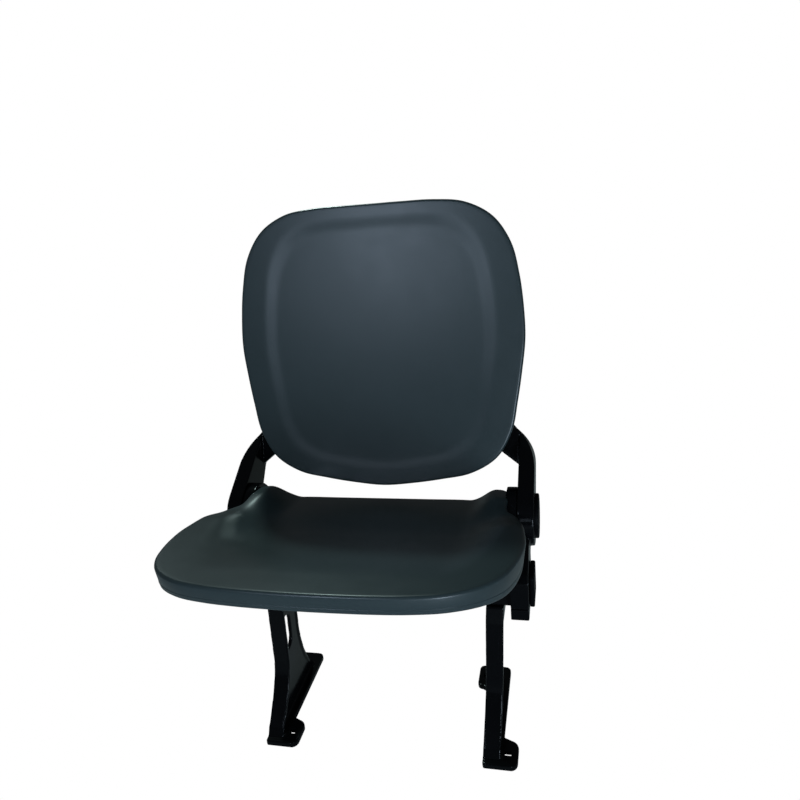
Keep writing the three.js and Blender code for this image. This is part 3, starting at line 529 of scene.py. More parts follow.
def modified(mesh, kind, **settings):
    """The mesh after one modifier."""
    holder = bpy.data.objects.new("holder", mesh)
    bpy.context.scene.collection.objects.link(holder)
    modifier = holder.modifiers.new("modifier", kind)
    for key, value in settings.items():
        setattr(modifier, key, value)
    evaluated = holder.evaluated_get(bpy.context.evaluated_depsgraph_get())
    result = bpy.data.meshes.new_from_object(evaluated)
    bpy.data.objects.remove(holder)
    return result


def combined(mesh, others, operation):
    for other in others:
        tool = bpy.data.objects.new("tool", other)
        bpy.context.scene.collection.objects.link(tool)
        mesh = modified(mesh, "BOOLEAN", operation=operation, solver="EXACT", object=tool)
        bpy.data.objects.remove(tool)
    return mesh


def cut(mesh, *tools):
    return combined(mesh, tools, "DIFFERENCE")


def kept(mesh, *zones):
    return combined(mesh, zones, "INTERSECT")


def cast(mesh):
    """One skin over all the overlapping solids, with cast edges and fillets."""
    skin = modified(mesh, "REMESH", mode="VOXEL", voxel_size=CAST_VOXEL)
    return modified(skin, "SMOOTH", factor=SMOOTH_SHARE, iterations=CAST_PASSES)


def bevelled(mesh, width):
    return modified(
        mesh, "BEVEL", width=width, segments=BEVEL_STEPS, limit_method="ANGLE",
        angle_limit=math.radians(SHARP_ANGLE),
    )


def turned_by(mesh, matrix):
    copy = mesh.copy()
    copy.transform(matrix)
    if matrix.determinant() < 0:
        copy.flip_normals()
    return copy


def lifted(mesh, z):
    return turned_by(mesh, Matrix.Translation((0, 0, z)))


MIRROR = Matrix.Scale(-1, 4, Vector((1, 0, 0)))


# Pieces

def finish_piece(node, mesh, body, slot):
    """Puts a mesh in place in metres, rides it on its body and lets it stand for its node."""
    mesh.transform(Matrix.Translation((0, BEAM_Y * MM, 0)) @ Matrix.Scale(MM, 4))
    mesh.materials.clear()
    mesh.materials.append(materials[slot])
    mesh.shade_smooth()
    mesh.set_sharp_from_angle(angle=math.radians(SHARP_ANGLE))
    piece = bpy.data.objects.new(f"fine_{node}", mesh)
    bpy.context.scene.collection.objects.link(piece)
    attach(piece, body)
    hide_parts(node)


def finish_pair(name, mesh, body, slot):
    """The right piece and its mirror image on the left."""
    for side, place in (("right", Matrix.Identity(4)), ("left", MIRROR)):
        finish_piece(f"{name}_{side}", turned_by(mesh, place), body, slot)


def seat_place(mesh):
    """From the seat's own frame to where the seat rests."""
    place = Matrix.Translation((0, *PIVOT))
    return turned_by(mesh, place @ Matrix.Rotation(math.radians(-SEAT_TILT), 4, "X"))


def back_place(mesh):
    """From the backrest's own frame to where the backrest stands."""
    place = Matrix.Translation((0, BACK_BEHIND_BEAM, BACK_CENTRE_HEIGHT))
    return turned_by(mesh, place @ Matrix.Rotation(math.radians(UPRIGHT - BACK_RECLINE), 4, "X"))


# Panels

def panel(outline, centre, top_height, bottom_height, edge, draft):
    """Rings from the middle of the face, round the edge and back; the sides draw in by the draft."""
    rings = []

    def add_ring(inset, share, height_of):
        points = [centre + (p - centre) * share for p in inset_outline(outline, inset)]
        rings.append([(p.x, p.y, height_of(p)) for p in points])

    for i in range(1, TOP_RINGS + 1):
        add_ring(edge, i / TOP_RINGS, top_height)
    for i in range(1, EDGE_RINGS + 1):
        turn = i / EDGE_RINGS * math.pi / 2
        drop = edge * (1 - math.cos(turn))
        add_ring(edge * (1 - math.sin(turn)), 1, lambda p: top_height(p) - drop)
    for rise, depth in ((PARTING_WIDTH, 0), (0, PARTING_DEPTH), (-PARTING_WIDTH, 0)):
        inset = mix(draft, 0, PARTING_SHARE) + depth
        add_ring(inset, 1, lambda p: mix(bottom_height(p), top_height(p), PARTING_SHARE) + rise)
    for i in range(EDGE_RINGS):
        turn = i / EDGE_RINGS * math.pi / 2
        rise = edge * (1 - math.sin(turn))
        add_ring(draft + edge * (1 - math.cos(turn)), 1, lambda p: bottom_height(p) + rise)
    for i in range(BOTTOM_RINGS, 0, -1):
        add_ring(draft + edge, i / BOTTOM_RINGS, bottom_height)
    return rings_mesh(rings, centre, top_height(centre), bottom_height(centre))


def rings_mesh(rings, centre, top, bottom):
    count = len(rings[0])
    points = [(centre.x, centre.y, top)] + [p for ring in rings for p in ring]
    points.append((centre.x, centre.y, bottom))
    faces = []
    for i in range(count):
        j = (i + 1) % count
        faces.append((0, 1 + i, 1 + j))
        for ring in range(len(rings) - 1):
            start = 1 + ring * count
            faces.append((start + i, start + count + i, start + count + j, start + j))
        end = 1 + (len(rings) - 1) * count
        faces.append((len(points) - 1, end + j, end + i))
    return outward(mesh_of(points, faces))


def field_depth(p, field, ribs):
    """The depth of a recessed field at a point, less its ribs."""
    inside = min(field["half_width"] - abs(p.x), p.y - field["low"], field["high"] - p.y)
    off_rib = min(
        min(abs(p.x - x) for x in ribs["across"]), min(abs(p.y - y) for y in ribs["along"])
    ) - ribs["half"]
    return field["depth"] * smooth_share(inside, 0, field["blend"]) * smooth_share(off_rib, 0, ribs["blend"])


def rim_height(y):
    """The rim dips a little ahead of the hubs."""
    fall = smooth_share(y, RIM_DIP_FROM, RIM_DIP_LOWEST)
    rise = smooth_share(y, RIM_DIP_LOWEST, RIM_DIP_TO)
    return SEAT_RIM_ABOVE_PIVOT - RIM_DIP * (fall - rise)


def seat_top(p):
    """The dish has a flat floor, steep sides and a long slope up to the front."""
    to_rear = smooth_share(p.y, SLOPE_NARROWS_FROM, SLOPE_NARROWS_TO)
    slope_width = mix(SLOPE_WIDTH_FRONT, SLOPE_WIDTH_REAR, to_rear)
    across = max(abs(p.x) - SEAT_WIDTH / 2 + FLOOR_FROM_SIDE, 0) / slope_width
    ahead = max(FLOOR_FRONT_Y - p.y, 0) / SLOPE_LENGTH
    way = min(math.hypot(across, ahead), 1) ** RIDGE_POWER
    return mix(SEAT_RIM_ABOVE_PIVOT - SEAT_DISH, rim_height(p.y), smooth_share(way, 0, 1))


def seat_bottom(p):
    start = SEAT_START + THICKENS_FROM
    to_hips = smooth_share(p.y, start, start + THICKENS_OVER)
    height = SEAT_RIM_ABOVE_PIVOT - mix(SEAT_RIM_THICKNESS, SEAT_THICKNESS, to_hips)
    return height + field_depth(p, SEAT_FIELD, SEAT_RIBS)


def seat_panel():
    outline = panel_outline(SEAT_OUTLINE_SHARES, SEAT_WIDTH, SEAT_DEPTH, SEAT_START)
    centre = Vector((0, SEAT_START + SEAT_DEPTH / 2))
    mesh = panel(outline, centre, seat_top, seat_bottom, SEAT_EDGE, SEAT_DRAFT)
    near = HUB_INNER_X - NOTCH_SIDE
    far = SEAT_WIDTH / 2 + OVERRUN
    notches = [disc(HUB_RADIUS + NOTCH_CLEARANCE, a, b, "x") for a, b in ((near, far), (-far, -near))]
    mesh = seat_place(cut(mesh, *notches))
    finish_piece("seat_panel", mesh, "tipping_seat", "slate_plastic")


def back_panel():
    """The face steps back inside its rim and goes on as a shallow bowl."""
    outline = panel_outline(BACK_OUTLINE_SHARES, BACK_WIDTH, BACK_HEIGHT, BACK_START)
    corners = sorted((math.atan2(p.y, p.x), p.length) for p in outline)
    angles, reaches = zip(*corners)

    def top(p):
        tall = INNER_FACE_SHARES["above"] if p.y > 0 else INNER_FACE_SHARES["below"]
        point = Vector((p.x / INNER_FACE_SHARES["across"], p.y / tall))
        reach = np.interp(math.atan2(point.y, point.x), angles, reaches, period=2 * math.pi)
        share = point.length / reach
        inward = max(1 - share, 0)
        return -BACK_STEP * smooth_share(inward, 0, STEP_SHARE) - BACK_BOWL * inward * (1 + share)

    def bottom(p):
        return -BACK_THICKNESS + field_depth(p, BACK_FIELD, BACK_RIBS)

    centre = Vector((0, BACK_START + BACK_HEIGHT / 2))
    mesh = back_place(panel(outline, centre, top, bottom, BACK_EDGE, BACK_DRAFT))
    finish_piece("backrest_panel", mesh, "frame", "slate_plastic")


# Hinge arms

def lug(start):
    outline = ring_sector(HUB_RADIUS - OVERRUN, STOP_OUTER, start, start + LUG_ANGLE)
    return prism(outline, HUB_INNER_X, HUB_OUTER_X, "x")


def hinge_arms():
    gap_angle = math.degrees(GAP / STOP_OUTER)
    down_lug = STOP_START - BUFFER_ANGLE - 2 * gap_angle - LUG_ANGLE
    up_lug = STOP_END + BUFFER_ANGLE + 2 * gap_angle + TIP_RANGE
    web = [
        (-PLATE_LENGTH, PLATE_BOTTOM + OVERLAP), (-HUB_RADIUS / 2, -PLATE_WEB_DEPTH),
        (0, -PLATE_WEB_DEPTH), (0, PLATE_BOTTOM + OVERLAP),
    ]
    casting = joined(
        disc(HUB_RADIUS, HUB_INNER_X, HUB_OUTER_X, "x"),
        block(PLATE_INNER_X, PLATE_OUTER_X, -PLATE_LENGTH, 0, PLATE_BOTTOM, PLATE_TOP),
        block(PLATE_OUTER_X - OVERRUN, HUB_OUTER_X, -HUB_RADIUS + OVERRUN, 0, PLATE_BOTTOM, PLATE_TOP),
        prism(web, PLATE_OUTER_X - PLATE_WEB, PLATE_OUTER_X, "x"),
        lug(down_lug + SEAT_TILT),
        lug(up_lug + SEAT_TILT),
    )
    bush_seat = BUSH_END - BUSH_FLANGE - GAP
    casting = cut(
        cast(casting),
        disc(HUB_BORE, HUB_INNER_X - OVERRUN, HUB_OUTER_X + OVERRUN, "x"),
        disc(CLIP_POCKET_RADIUS, HUB_INNER_X - OVERRUN, HUB_INNER_X + CLIP_POCKET, "x"),
        disc(BUSH_FLANGE_RADIUS + GAP, bush_seat, HUB_OUTER_X + OVERRUN, "x"),
    )
    finish_pair("hinge_arm", seat_place(casting), "tipping_seat", "cast_paint")


# Back arms and clamp jaws

def back_point(along, out):
    """A point of the Y Z plane, from its height along the recline and its distance before the face."""
    turn = math.radians(UPRIGHT - BACK_RECLINE)
    return (
        BACK_BEHIND_BEAM + along * math.cos(turn) - out * math.sin(turn),
        BACK_CENTRE_HEIGHT + along * math.sin(turn) + out * math.cos(turn),
    )


def on_arm_hub(angle):
    t = math.radians(angle)
    return (PIVOT_BEHIND_BEAM + ARM_HUB_RADIUS * math.cos(t), PIVOT_HEIGHT + ARM_HUB_RADIUS * math.sin(t))


def sweep_points():
    return bend(
        (ARM_OUTER_X, -SWEEP_START_BELOW), (ARM_OUTER_X, -SWEEP_CONTROL_BELOW),
        (ARM_OUTER_X - SWEEP_END_INSET, -SWEEP_END_BELOW),
    )


def neck_and_pad():
    outline = [
        (ARM_INNER_X, -ELBOW_BELOW), (ARM_OUTER_X, -ELBOW_BELOW), *sweep_points(),
        *((ARM_OUTER_X - inset, -below) for inset, below in PAD_CORNERS),
    ]
    return back_place(prism(outline, PAD_REAR, PAD_FRONT, "z"))


def sweep_zone():
    """What the sweep leaves of the arm's side, as a prism through its whole depth."""
    reach = BACK_HEIGHT
    outline = [
        (ARM_INNER_X - OVERRUN, -reach), (ARM_OUTER_X + OVERRUN, -reach),
        (ARM_OUTER_X + OVERRUN, -SWEEP_START_BELOW), *sweep_points(),
        (ARM_INNER_X - OVERRUN, -SWEEP_END_BELOW),
    ]
    return back_place(prism(outline, -reach, reach, "z"))


def arm_side():
    outline = [
        on_arm_hub(UNDERSIDE_ANGLE),
        (PIVOT_BEHIND_BEAM + ARM_WAIST_BEHIND, PIVOT_HEIGHT + ARM_WAIST_ABOVE),
        back_point(-ELBOW_BELOW, PAD_REAR), back_point(-SHOULDER_BELOW, PAD_REAR),
        back_point(-SHOULDER_BELOW, PAD_FRONT), on_arm_hub(NECK_ANGLE), PIVOT,
    ]
    return kept(prism(outline, ARM_INNER_X, ARM_OUTER_X, "x"), sweep_zone())


def foot_parts():
    saddle = [
        (-FOOT_REACH, FOOT_BOTTOM), (-BEAM_FACE, FOOT_BOTTOM), (-BEAM_FACE, BEAM_TOP + GAP),
        (BEAM_FACE, BEAM_TOP + GAP), (BEAM_FACE, FOOT_BOTTOM), (FOOT_REACH, FOOT_BOTTOM),
        (FOOT_REACH, BEAM_TOP), (CLAMP_REACH, FOOT_TOP), (-CLAMP_REACH, FOOT_TOP), (-FOOT_REACH, BEAM_TOP),
    ]
    gusset = [
        (-CLAMP_REACH, FOOT_TOP - OVERLAP), (FOOT_REACH, BEAM_TOP + OVERLAP), on_arm_hub(GUSSET_REAR_ANGLE),
        PIVOT, on_arm_hub(GUSSET_FRONT_ANGLE),
    ]
    return prism(saddle, FOOT_INNER_X, FOOT_OUTER_X, "x"), prism(gusset, ARM_INNER_X, FOOT_OUTER_X, "x")


def back_arms():
    stop_outline = ring_sector(STOP_INNER, STOP_OUTER, STOP_START, STOP_END, *PIVOT)
    casting = cast(joined(
        disc(ARM_HUB_RADIUS, ARM_INNER_X, ARM_OUTER_X, "x", *PIVOT), arm_side(), *foot_parts(),
        prism(stop_outline, STOP_X, ARM_INNER_X + OVERRUN, "x"), neck_and_pad(),
    ))
    casting = cut(
        casting,
        disc(ARM_RECESS_RADIUS, RECESS_X, ARM_OUTER_X + OVERRUN, "x", *PIVOT),
        disc(PIN_RADIUS + GAP, STOP_X, ARM_OUTER_X + OVERRUN, "x", *PIVOT),
    )
    finish_pair("back_arm", casting, "frame", "cast_paint")


def clamp_jaws():
    lip_top = FOOT_BOTTOM - GAP
    outline = [
        (-FOOT_REACH, JAW_BOTTOM), (FOOT_REACH, JAW_BOTTOM), (FOOT_REACH, lip_top), (BEAM_FACE, lip_top),
        (BEAM_FACE, BEAM_BOTTOM - GAP), (-BEAM_FACE, BEAM_BOTTOM - GAP), (-BEAM_FACE, lip_top),
        (-FOOT_REACH, lip_top),
    ]
    casting = cast(prism(outline, FOOT_INNER_X, FOOT_OUTER_X, "x"))
    pockets = [
        disc(BOLT_POCKET_RADIUS, JAW_BOTTOM - OVERRUN, CLAMP_SEAT, "z", CLAMP_X, y)
        for y in (-CLAMP_REACH, CLAMP_REACH)
    ]
    finish_pair("clamp_jaw", cut(casting, *pockets), "frame", "cast_paint")


# Legs

def leg_profile():
    knee = bend(
        (-LEG_FRONT_SETBACK, KNEE_HEIGHT), (-KNEE_CONTROL_SETBACK, KNEE_CONTROL_HEIGHT),
        (-STRUT_TOE_REACH + TOE_SLOPE, TOE_RISE),
    )
    heel_front = HEEL_REACH - HEEL_LENGTH / 2
    heel = bend(
        (heel_front, SOLE_THICKNESS), (HEEL_CONTROL_REACH, HEEL_CONTROL_HEIGHT),
        (LEG_REAR_REACH, LEG_WAIST_HEIGHT),
    )
    return [
        (-LEG_HEAD_SETBACK, LEG_TOP), (-LEG_FRONT_SETBACK, LEG_TOP - LEG_HEAD_HEIGHT), *knee,
        (-STRUT_TOE_REACH, SOLE_THICKNESS), (-STRUT_TOE_REACH, 0), (heel_front, 0), *heel,
        (LEG_REAR_REACH, LEG_SHOULDER_HEIGHT), (LEG_HEAD_REACH, LEG_TOP - LEG_HEAD_HEIGHT),
        (LEG_HEAD_REACH, LEG_TOP),
    ]


def sole_outline():
    """The toe pad reaches out to the right and the heel pad to the left."""
    half = LEG_WIDTH / 2
    toe_rear = -TOE_REACH + TOE_LENGTH
    heel_start = HEEL_REACH - HEEL_LENGTH
    right = half + TOE_OVERHANG
    left = -half - HEEL_OVERHANG + HEEL_CORNER
    strip = half + STRIP_OVERHANG
    return [
        *quarter_arc(right - TOE_CORNER, -TOE_REACH + TOE_CORNER, TOE_CORNER, -1),
        *arc(right - TOE_REAR_CORNER, toe_rear - TOE_REAR_CORNER, TOE_REAR_CORNER, 0, TOE_REAR_TURN),
        (strip, toe_rear + TOE_SLANT),
        *quarter_arc(strip - HEEL_CORNER, HEEL_REACH - HEEL_CORNER, HEEL_CORNER, 0),
        *quarter_arc(left, HEEL_REACH - HEEL_CORNER, HEEL_CORNER, 1),
        *quarter_arc(left, heel_start + HEEL_CORNER, HEEL_CORNER, 2),
        (-half, heel_start - HEEL_CORNER),
        *quarter_arc(-half + TIP_CORNER, -TOE_REACH + TIP_CORNER, TIP_CORNER, 2),
    ]


def window_outline():
    radius = WINDOW_WIDTH / 2
    return (
        arc(-WINDOW_SETBACK, WINDOW_LOW + radius, radius, HALF_TURN, FULL_TURN)
        + arc(-WINDOW_SETBACK, WINDOW_HIGH - radius, radius, 0, HALF_TURN)
    )


def floor_slot(x, y):
    half_x, half_y = SLOT_WIDTH / 2, SLOT_LENGTH / 2
    top = SOLE_THICKNESS + OVERRUN
    return block(x - half_x, x + half_x, y - half_y, y + half_y, -OVERRUN, top)


def leg_casting():
    half = LEG_WIDTH / 2
    side = half + OVERRUN
    profile = leg_profile()
    pocket = [tuple(p) for p in inset_outline([Vector(p) for p in profile], LEG_FLANGE)]
    reach = TOE_REACH + HEEL_REACH
    pocket_top = LEG_TOP - LEG_HEAD_HEIGHT
    rear_start = -LEG_FRONT_SETBACK + LEG_FLANGE
    rear_half = LEG_REAR_FLANGE / 2
    zone = block(-side, side, -reach, reach, SOLE_THICKNESS, pocket_top)
    strut = cut(
        prism(profile, -half, half, "x"),
        kept(prism(pocket, LEG_WEB / 2, side, "x"), zone),
        kept(prism(pocket, -side, -LEG_WEB / 2, "x"), zone),
        prism(window_outline(), -side, side, "x"),
        block(rear_half, side, rear_start, reach, SOLE_THICKNESS, pocket_top),
        block(-side, -rear_half, rear_start, reach, SOLE_THICKNESS, pocket_top),
    )
    lean = Matrix.Identity(4)
    lean[0][2] = LEG_LEAN / LEG_TOP
    slot_x = half + SLOT_FROM_STRUT
    body = cast(joined(turned_by(strut, lean), prism(sole_outline(), 0, SOLE_THICKNESS, "z")))
    toe_slot = floor_slot(slot_x, -TOE_REACH + SLOT_FROM_TOE)
    return cut(body, toe_slot, floor_slot(-slot_x, HEEL_REACH - HEEL_LENGTH / 2))


def legs():
    casting = leg_casting()
    for side, x in LEG_PLACES.items():
        mesh = turned_by(casting, Matrix.Translation((x, 0, 0)))
        finish_piece(f"leg_{side}", mesh, "frame", "cast_paint")


# Beam and caps

def main_beam():
    half = BEAM_LENGTH / 2
    hollow = BEAM_SIZE - 2 * BEAM_WALL
    skin = prism(rounded_rectangle(BEAM_SIZE, BEAM_SIZE, BEAM_CORNER), -half, half, "x")
    inside = rounded_rectangle(hollow, hollow, BEAM_CORNER - BEAM_WALL)
    mesh = cut(skin, prism(inside, -half - OVERRUN, half + OVERRUN, "x"))
    finish_piece("main_beam", lifted(mesh, BEAM_HEIGHT), "frame", "beam_paint")


def beam_caps():
    start = BEAM_LENGTH / 2 + GAP
    end = start + BEAM_CAP_THICKNESS
    corner = BEAM_CORNER - BEAM_WALL
    section = rounded_rectangle(BEAM_SIZE, BEAM_SIZE, BEAM_CORNER)
    plate = bevelled(prism(section, start, end, "x"), BEAM_CAP_EDGE)
    dish_size = BEAM_SIZE - 2 * BEAM_CAP_RIM
    dish_section = rounded_rectangle(dish_size, dish_size, BEAM_CORNER)
    dish = prism(dish_section, end - BEAM_CAP_DISH, end + OVERRUN, "x")
    outside = BEAM_SIZE - 2 * BEAM_WALL - 2 * GAP
    inside = outside - 2 * SPIGOT_WALL
    spigot_start = start - SPIGOT_LENGTH
    spigot = prism(rounded_rectangle(outside, outside, corner), spigot_start, start + OVERLAP, "x")
    hollow = prism(rounded_rectangle(inside, inside, corner), spigot_start - OVERRUN, start - OVERLAP, "x")
    mesh = combined(cut(plate, dish), [cut(spigot, hollow)], "UNION")
    finish_pair("beam_cap", lifted(mesh, BEAM_HEIGHT), "frame", "black_plastic")


def pivot_caps():
    start = ARM_OUTER_X + GAP
    end = start + CAP_THICKNESS
    rim = [(end - CAP_EDGE + y, CAP_RADIUS - CAP_EDGE + r) for r, y in quarter_arc(0, 0, CAP_EDGE, 0)]
    profile = [(start, 0), (start, CAP_RADIUS), *rim]
    profile += [(end, CAP_RING + CAP_EDGE), (end - CAP_DISH, CAP_RING), (end - CAP_DISH, 0)]
    mesh = turned(profile, "x", *PIVOT)
    finish_pair("pivot_cap", mesh, "frame", "black_plastic")


# Pivots and stops

def pivot_pins():
    head = RECESS_X + GAP
    groove = PIN_RADIUS - PIN_GROOVE
    end = HUB_INNER_X + GAP
    clip_end = CLIP_X + CLIP_THICKNESS + GAP
    head_end = head + PIN_HEAD_LENGTH
    profile = [
        (end, 0), (end, groove), (clip_end, groove), (clip_end, PIN_RADIUS), (head, PIN_RADIUS),
        (head, PIN_HEAD_RADIUS), (head_end - PIN_CHAMFER, PIN_HEAD_RADIUS),
        (head_end, PIN_HEAD_RADIUS - PIN_CHAMFER), (head_end, 0),
    ]
    mesh = turned(profile, "x", *PIVOT)
    finish_pair("pivot_pin", mesh, "frame", "zinc_steel")


def pivot_clips():
    """A split ring, open towards the floor."""
    start = -UPRIGHT + CLIP_OPENING / 2
    end = start + FULL_TURN - CLIP_OPENING
    inner = PIN_RADIUS - PIN_GROOVE + GAP
    outline = ring_sector(inner, CLIP_RADIUS, start, end, *PIVOT)
    mesh = bevelled(prism(outline, CLIP_X, CLIP_X + CLIP_THICKNESS, "x"), CLIP_EDGE)
    finish_pair("pivot_clip", mesh, "frame", "zinc_steel")


def pivot_bushes():
    inner = PIN_RADIUS + GAP
    outer = inner + BUSH_WALL
    start = HUB_INNER_X + CLIP_POCKET + GAP
    flange = BUSH_END - BUSH_FLANGE
    profile = [
        (start, inner), (start, outer - BUSH_CHAMFER), (start + BUSH_CHAMFER, outer), (flange, outer),
        (flange, BUSH_FLANGE_RADIUS), (BUSH_END - BUSH_CHAMFER, BUSH_FLANGE_RADIUS),
        (BUSH_END, BUSH_FLANGE_RADIUS - BUSH_CHAMFER), (BUSH_END, inner),
    ]
    mesh = tube(profile, "x", *PIVOT)
    finish_pair("pivot_bush", mesh, "tipping_seat", "nylon")


def stop_buffers():
    gap_angle = math.degrees(GAP / STOP_OUTER)
    for name, start in (("down", STOP_START - BUFFER_ANGLE), ("up", STOP_END)):
        turns = (start + gap_angle, start + BUFFER_ANGLE)
        outline = ring_sector(STOP_INNER, STOP_OUTER, *turns, *PIVOT)
        mesh = bevelled(prism(outline, STOP_X, ARM_INNER_X - GAP, "x"), BUFFER_EDGE)
        finish_pair(f"{name}_stop_buffer", mesh, "frame", "black_rubber")


# Bolts and screws stand on Z

def thread(start, end, radius, pitch):
    """The profile of a thread between two places on its axis."""
    points = []
    turns = int((end - start) / pitch)
    for i in range(turns):
        crest = start + i * pitch
        points += [(crest, radius), (crest + pitch / 2, radius - THREAD_DEPTH)]
    return points


def hex_bolt(bolt):
    """A bolt with its head above the seat plane at zero and its shank below."""
    radius, length = bolt["radius"], bolt["length"]
    head_radius, top = bolt["head_radius"], bolt["head_length"]
    corners = arc(0, 0, head_radius, 0, FULL_TURN, HEX_SIDES)[:-1]
    crown = head_radius - BOLT_CHAMFER
    edge = BOLT_CHAMFER / 2
    dome = turned([
        (0, 0), (0, crown), (edge, head_radius), (top - edge, head_radius), (top, crown), (top, 0),
    ], "z")
    head = kept(prism(corners, 0, top, "z"), dome)
    threaded = thread(-length + BOLT_CHAMFER, -length / 2, radius, bolt["pitch"])
    shank = turned([
        (-length, 0), (-length, radius - BOLT_CHAMFER), *threaded, (-length / 2, radius), (OVERLAP, radius),
        (OVERLAP, 0),
    ], "z")
    return combined(head, [shank], "UNION")


def leg_bolts():
    bolt = hex_bolt(LEG_BOLT)
    for side, x in LEG_PLACES.items():
        for row, y in (("front", -LEG_BOLT_SPREAD / 2), ("rear", LEG_BOLT_SPREAD / 2)):
            mesh = turned_by(bolt, Matrix.Translation((x + LEG_LEAN, y, BEAM_TOP + GAP)))
            finish_piece(f"leg_bolt_{side}_{row}", mesh, "frame", "zinc_steel")


def clamp_bolts():
    bolt = turned_by(hex_bolt(CLAMP_BOLT), Matrix.Rotation(math.pi, 4, "X"))
    for row, y in (("front", -CLAMP_REACH), ("rear", CLAMP_REACH)):
        mesh = turned_by(bolt, Matrix.Translation((CLAMP_X, y, CLAMP_SEAT - GAP)))
        finish_pair(f"clamp_bolt_{row}", mesh, "frame", "zinc_steel")


def screw(length):
    """A screw with its slotted head below the seat plane at zero and its shank above."""
    low = -SCREW_HEAD_LENGTH
    threaded = thread(0, length - SCREW_RADIUS, SCREW_RADIUS, SCREW_PITCH)[1:]
    body = turned([
        (low, 0), (low, SCREW_HEAD_RADIUS * CROWN_SHARE), (low / 2, SCREW_HEAD_RADIUS),
        (0, SCREW_HEAD_RADIUS), (0, SCREW_RADIUS), *threaded, (length - SCREW_RADIUS, SCREW_RADIUS),
        (length, SCREW_RADIUS * POINT_SHARE), (length, 0),
    ], "z")
    half_width, half_length = SCREW_SLOT_WIDTH / 2, SCREW_SLOT_LENGTH / 2
    floor = low + SCREW_SLOT_DEPTH
    slots = [
        block(-half_width, half_width, -half_length, half_length, low - OVERRUN, floor),
        block(-half_length, half_length, -half_width, half_width, low - OVERRUN, floor),
    ]
    return cut(body, *slots)


def seat_screws():
    body = screw(SEAT_SCREW_LENGTH)
    for row, share in SEAT_SCREW_SHARES.items():
        place = Matrix.Translation((SEAT_SCREW_X, -share * PLATE_LENGTH, PLATE_BOTTOM - GAP))
        mesh = seat_place(turned_by(body, place))
        finish_pair(f"seat_screw_{row}", mesh, "tipping_seat", "zinc_steel")


def back_screws():
    body = screw(BACK_SCREW_LENGTH)
    for row, (inset, below) in BACK_SCREW_CORNERS.items():
        place = Matrix.Translation((ARM_OUTER_X - inset, -below, PAD_REAR - GAP))
        mesh = back_place(turned_by(body, place))
        finish_pair(f"back_screw_{row}", mesh, "frame", "zinc_steel")


# Materials

# Plain colours, roughness and grain; the scales count per metre and the depths are in metres
LOOKS = {
    "slate_plastic": {
        "colour": (0.030, 0.048, 0.051), "spread": 0.06, "patches": 9, "specular": 0.5,
        "smooth": 0.3, "rough": 0.36, "grain": 1400, "depth": 0.0001, "strength": 0.3,
    },
    "cast_paint": {
        "colour": (0.0026, 0.0031, 0.0037), "spread": 0.1, "patches": 14, "specular": 0.12,
        "smooth": 0.12, "rough": 0.19, "grain": 380, "depth": 0.0001, "strength": 0.15,
    },
    "beam_paint": {
        "colour": (0.0028, 0.0032, 0.0038), "spread": 0.1, "patches": 14, "specular": 0.15,
        "smooth": 0.14, "rough": 0.21, "grain": 500, "depth": 0.0001, "strength": 0.15,
    },
    "black_plastic": {
        "colour": (0.003, 0.0034, 0.004), "spread": 0.1, "patches": 20, "specular": 0.05,
        "smooth": 0.36, "rough": 0.5, "grain": 1200, "depth": 0.0001, "strength": 0.3,
    },
    "zinc_steel": {
        "colour": (0.50, 0.51, 0.52), "spread": 0.08, "patches": 60, "metallic": 1.0,
        "smooth": 0.28, "rough": 0.42, "grain": 900, "depth": 0.00005, "strength": 0.3,
    },
    "nylon": {
        "colour": (0.70, 0.67, 0.60), "spread": 0.05, "patches": 40, "specular": 0.45,
        "smooth": 0.45, "rough": 0.55, "grain": 900, "depth": 0.00005, "strength": 0.3,
    },
    "black_rubber": {
        "colour": (0.012, 0.012, 0.013), "spread": 0.15, "patches": 60, "specular": 0.3,
        "smooth": 0.7, "rough": 0.9, "grain": 1500, "depth": 0.0001, "strength": 0.5,
    },
}
GRAIN_DETAIL = 3
PLAIN_SPECULAR = 0.5
ROUGHNESS_PER_PATCH = 4


def add_noise(material, scale):
    nodes, links = material.node_tree.nodes, material.node_tree.links
    place = nodes.new("ShaderNodeTexCoord")
    noise = nodes.new("ShaderNodeTexNoise")
    noise.inputs["Scale"].default_value = scale
    noise.inputs["Detail"].default_value = GRAIN_DETAIL
    links.new(place.outputs["Object"], noise.inputs["Vector"])
    return noise.outputs["Fac"]


def vary_colour(material, look):
    """Soft patches that are a little darker and lighter than the plain colour."""
    nodes, links = material.node_tree.nodes, material.node_tree.links
    ramp = nodes.new("ShaderNodeValToRGB")
    for stop, factor in zip(ramp.color_ramp.elements, (1 - look["spread"], 1 + look["spread"])):
        stop.color = (*(part * factor for part in look["colour"]), 1)
    links.new(add_noise(material, look["patches"]), ramp.inputs["Fac"])
    links.new(ramp.outputs["Color"], nodes["Principled BSDF"].inputs["Base Color"])


def vary_roughness(material, look):
    nodes, links = material.node_tree.nodes, material.node_tree.links
    ramp = nodes.new("ShaderNodeMapRange")
    ramp.inputs["To Min"].default_value = look["smooth"]
    ramp.inputs["To Max"].default_value = look["rough"]
    links.new(add_noise(material, ROUGHNESS_PER_PATCH * look["patches"]), ramp.inputs["Value"])
    links.new(ramp.outputs["Result"], nodes["Principled BSDF"].inputs["Roughness"])


def add_grain(material, look):
    nodes, links = material.node_tree.nodes, material.node_tree.links
    bump = nodes.new("ShaderNodeBump")
    bump.inputs["Distance"].default_value = look["depth"]
    bump.inputs["Strength"].default_value = look["strength"]
    links.new(add_noise(material, look["grain"]), bump.inputs["Height"])
    links.new(bump.outputs["Normal"], nodes["Principled BSDF"].inputs["Normal"])


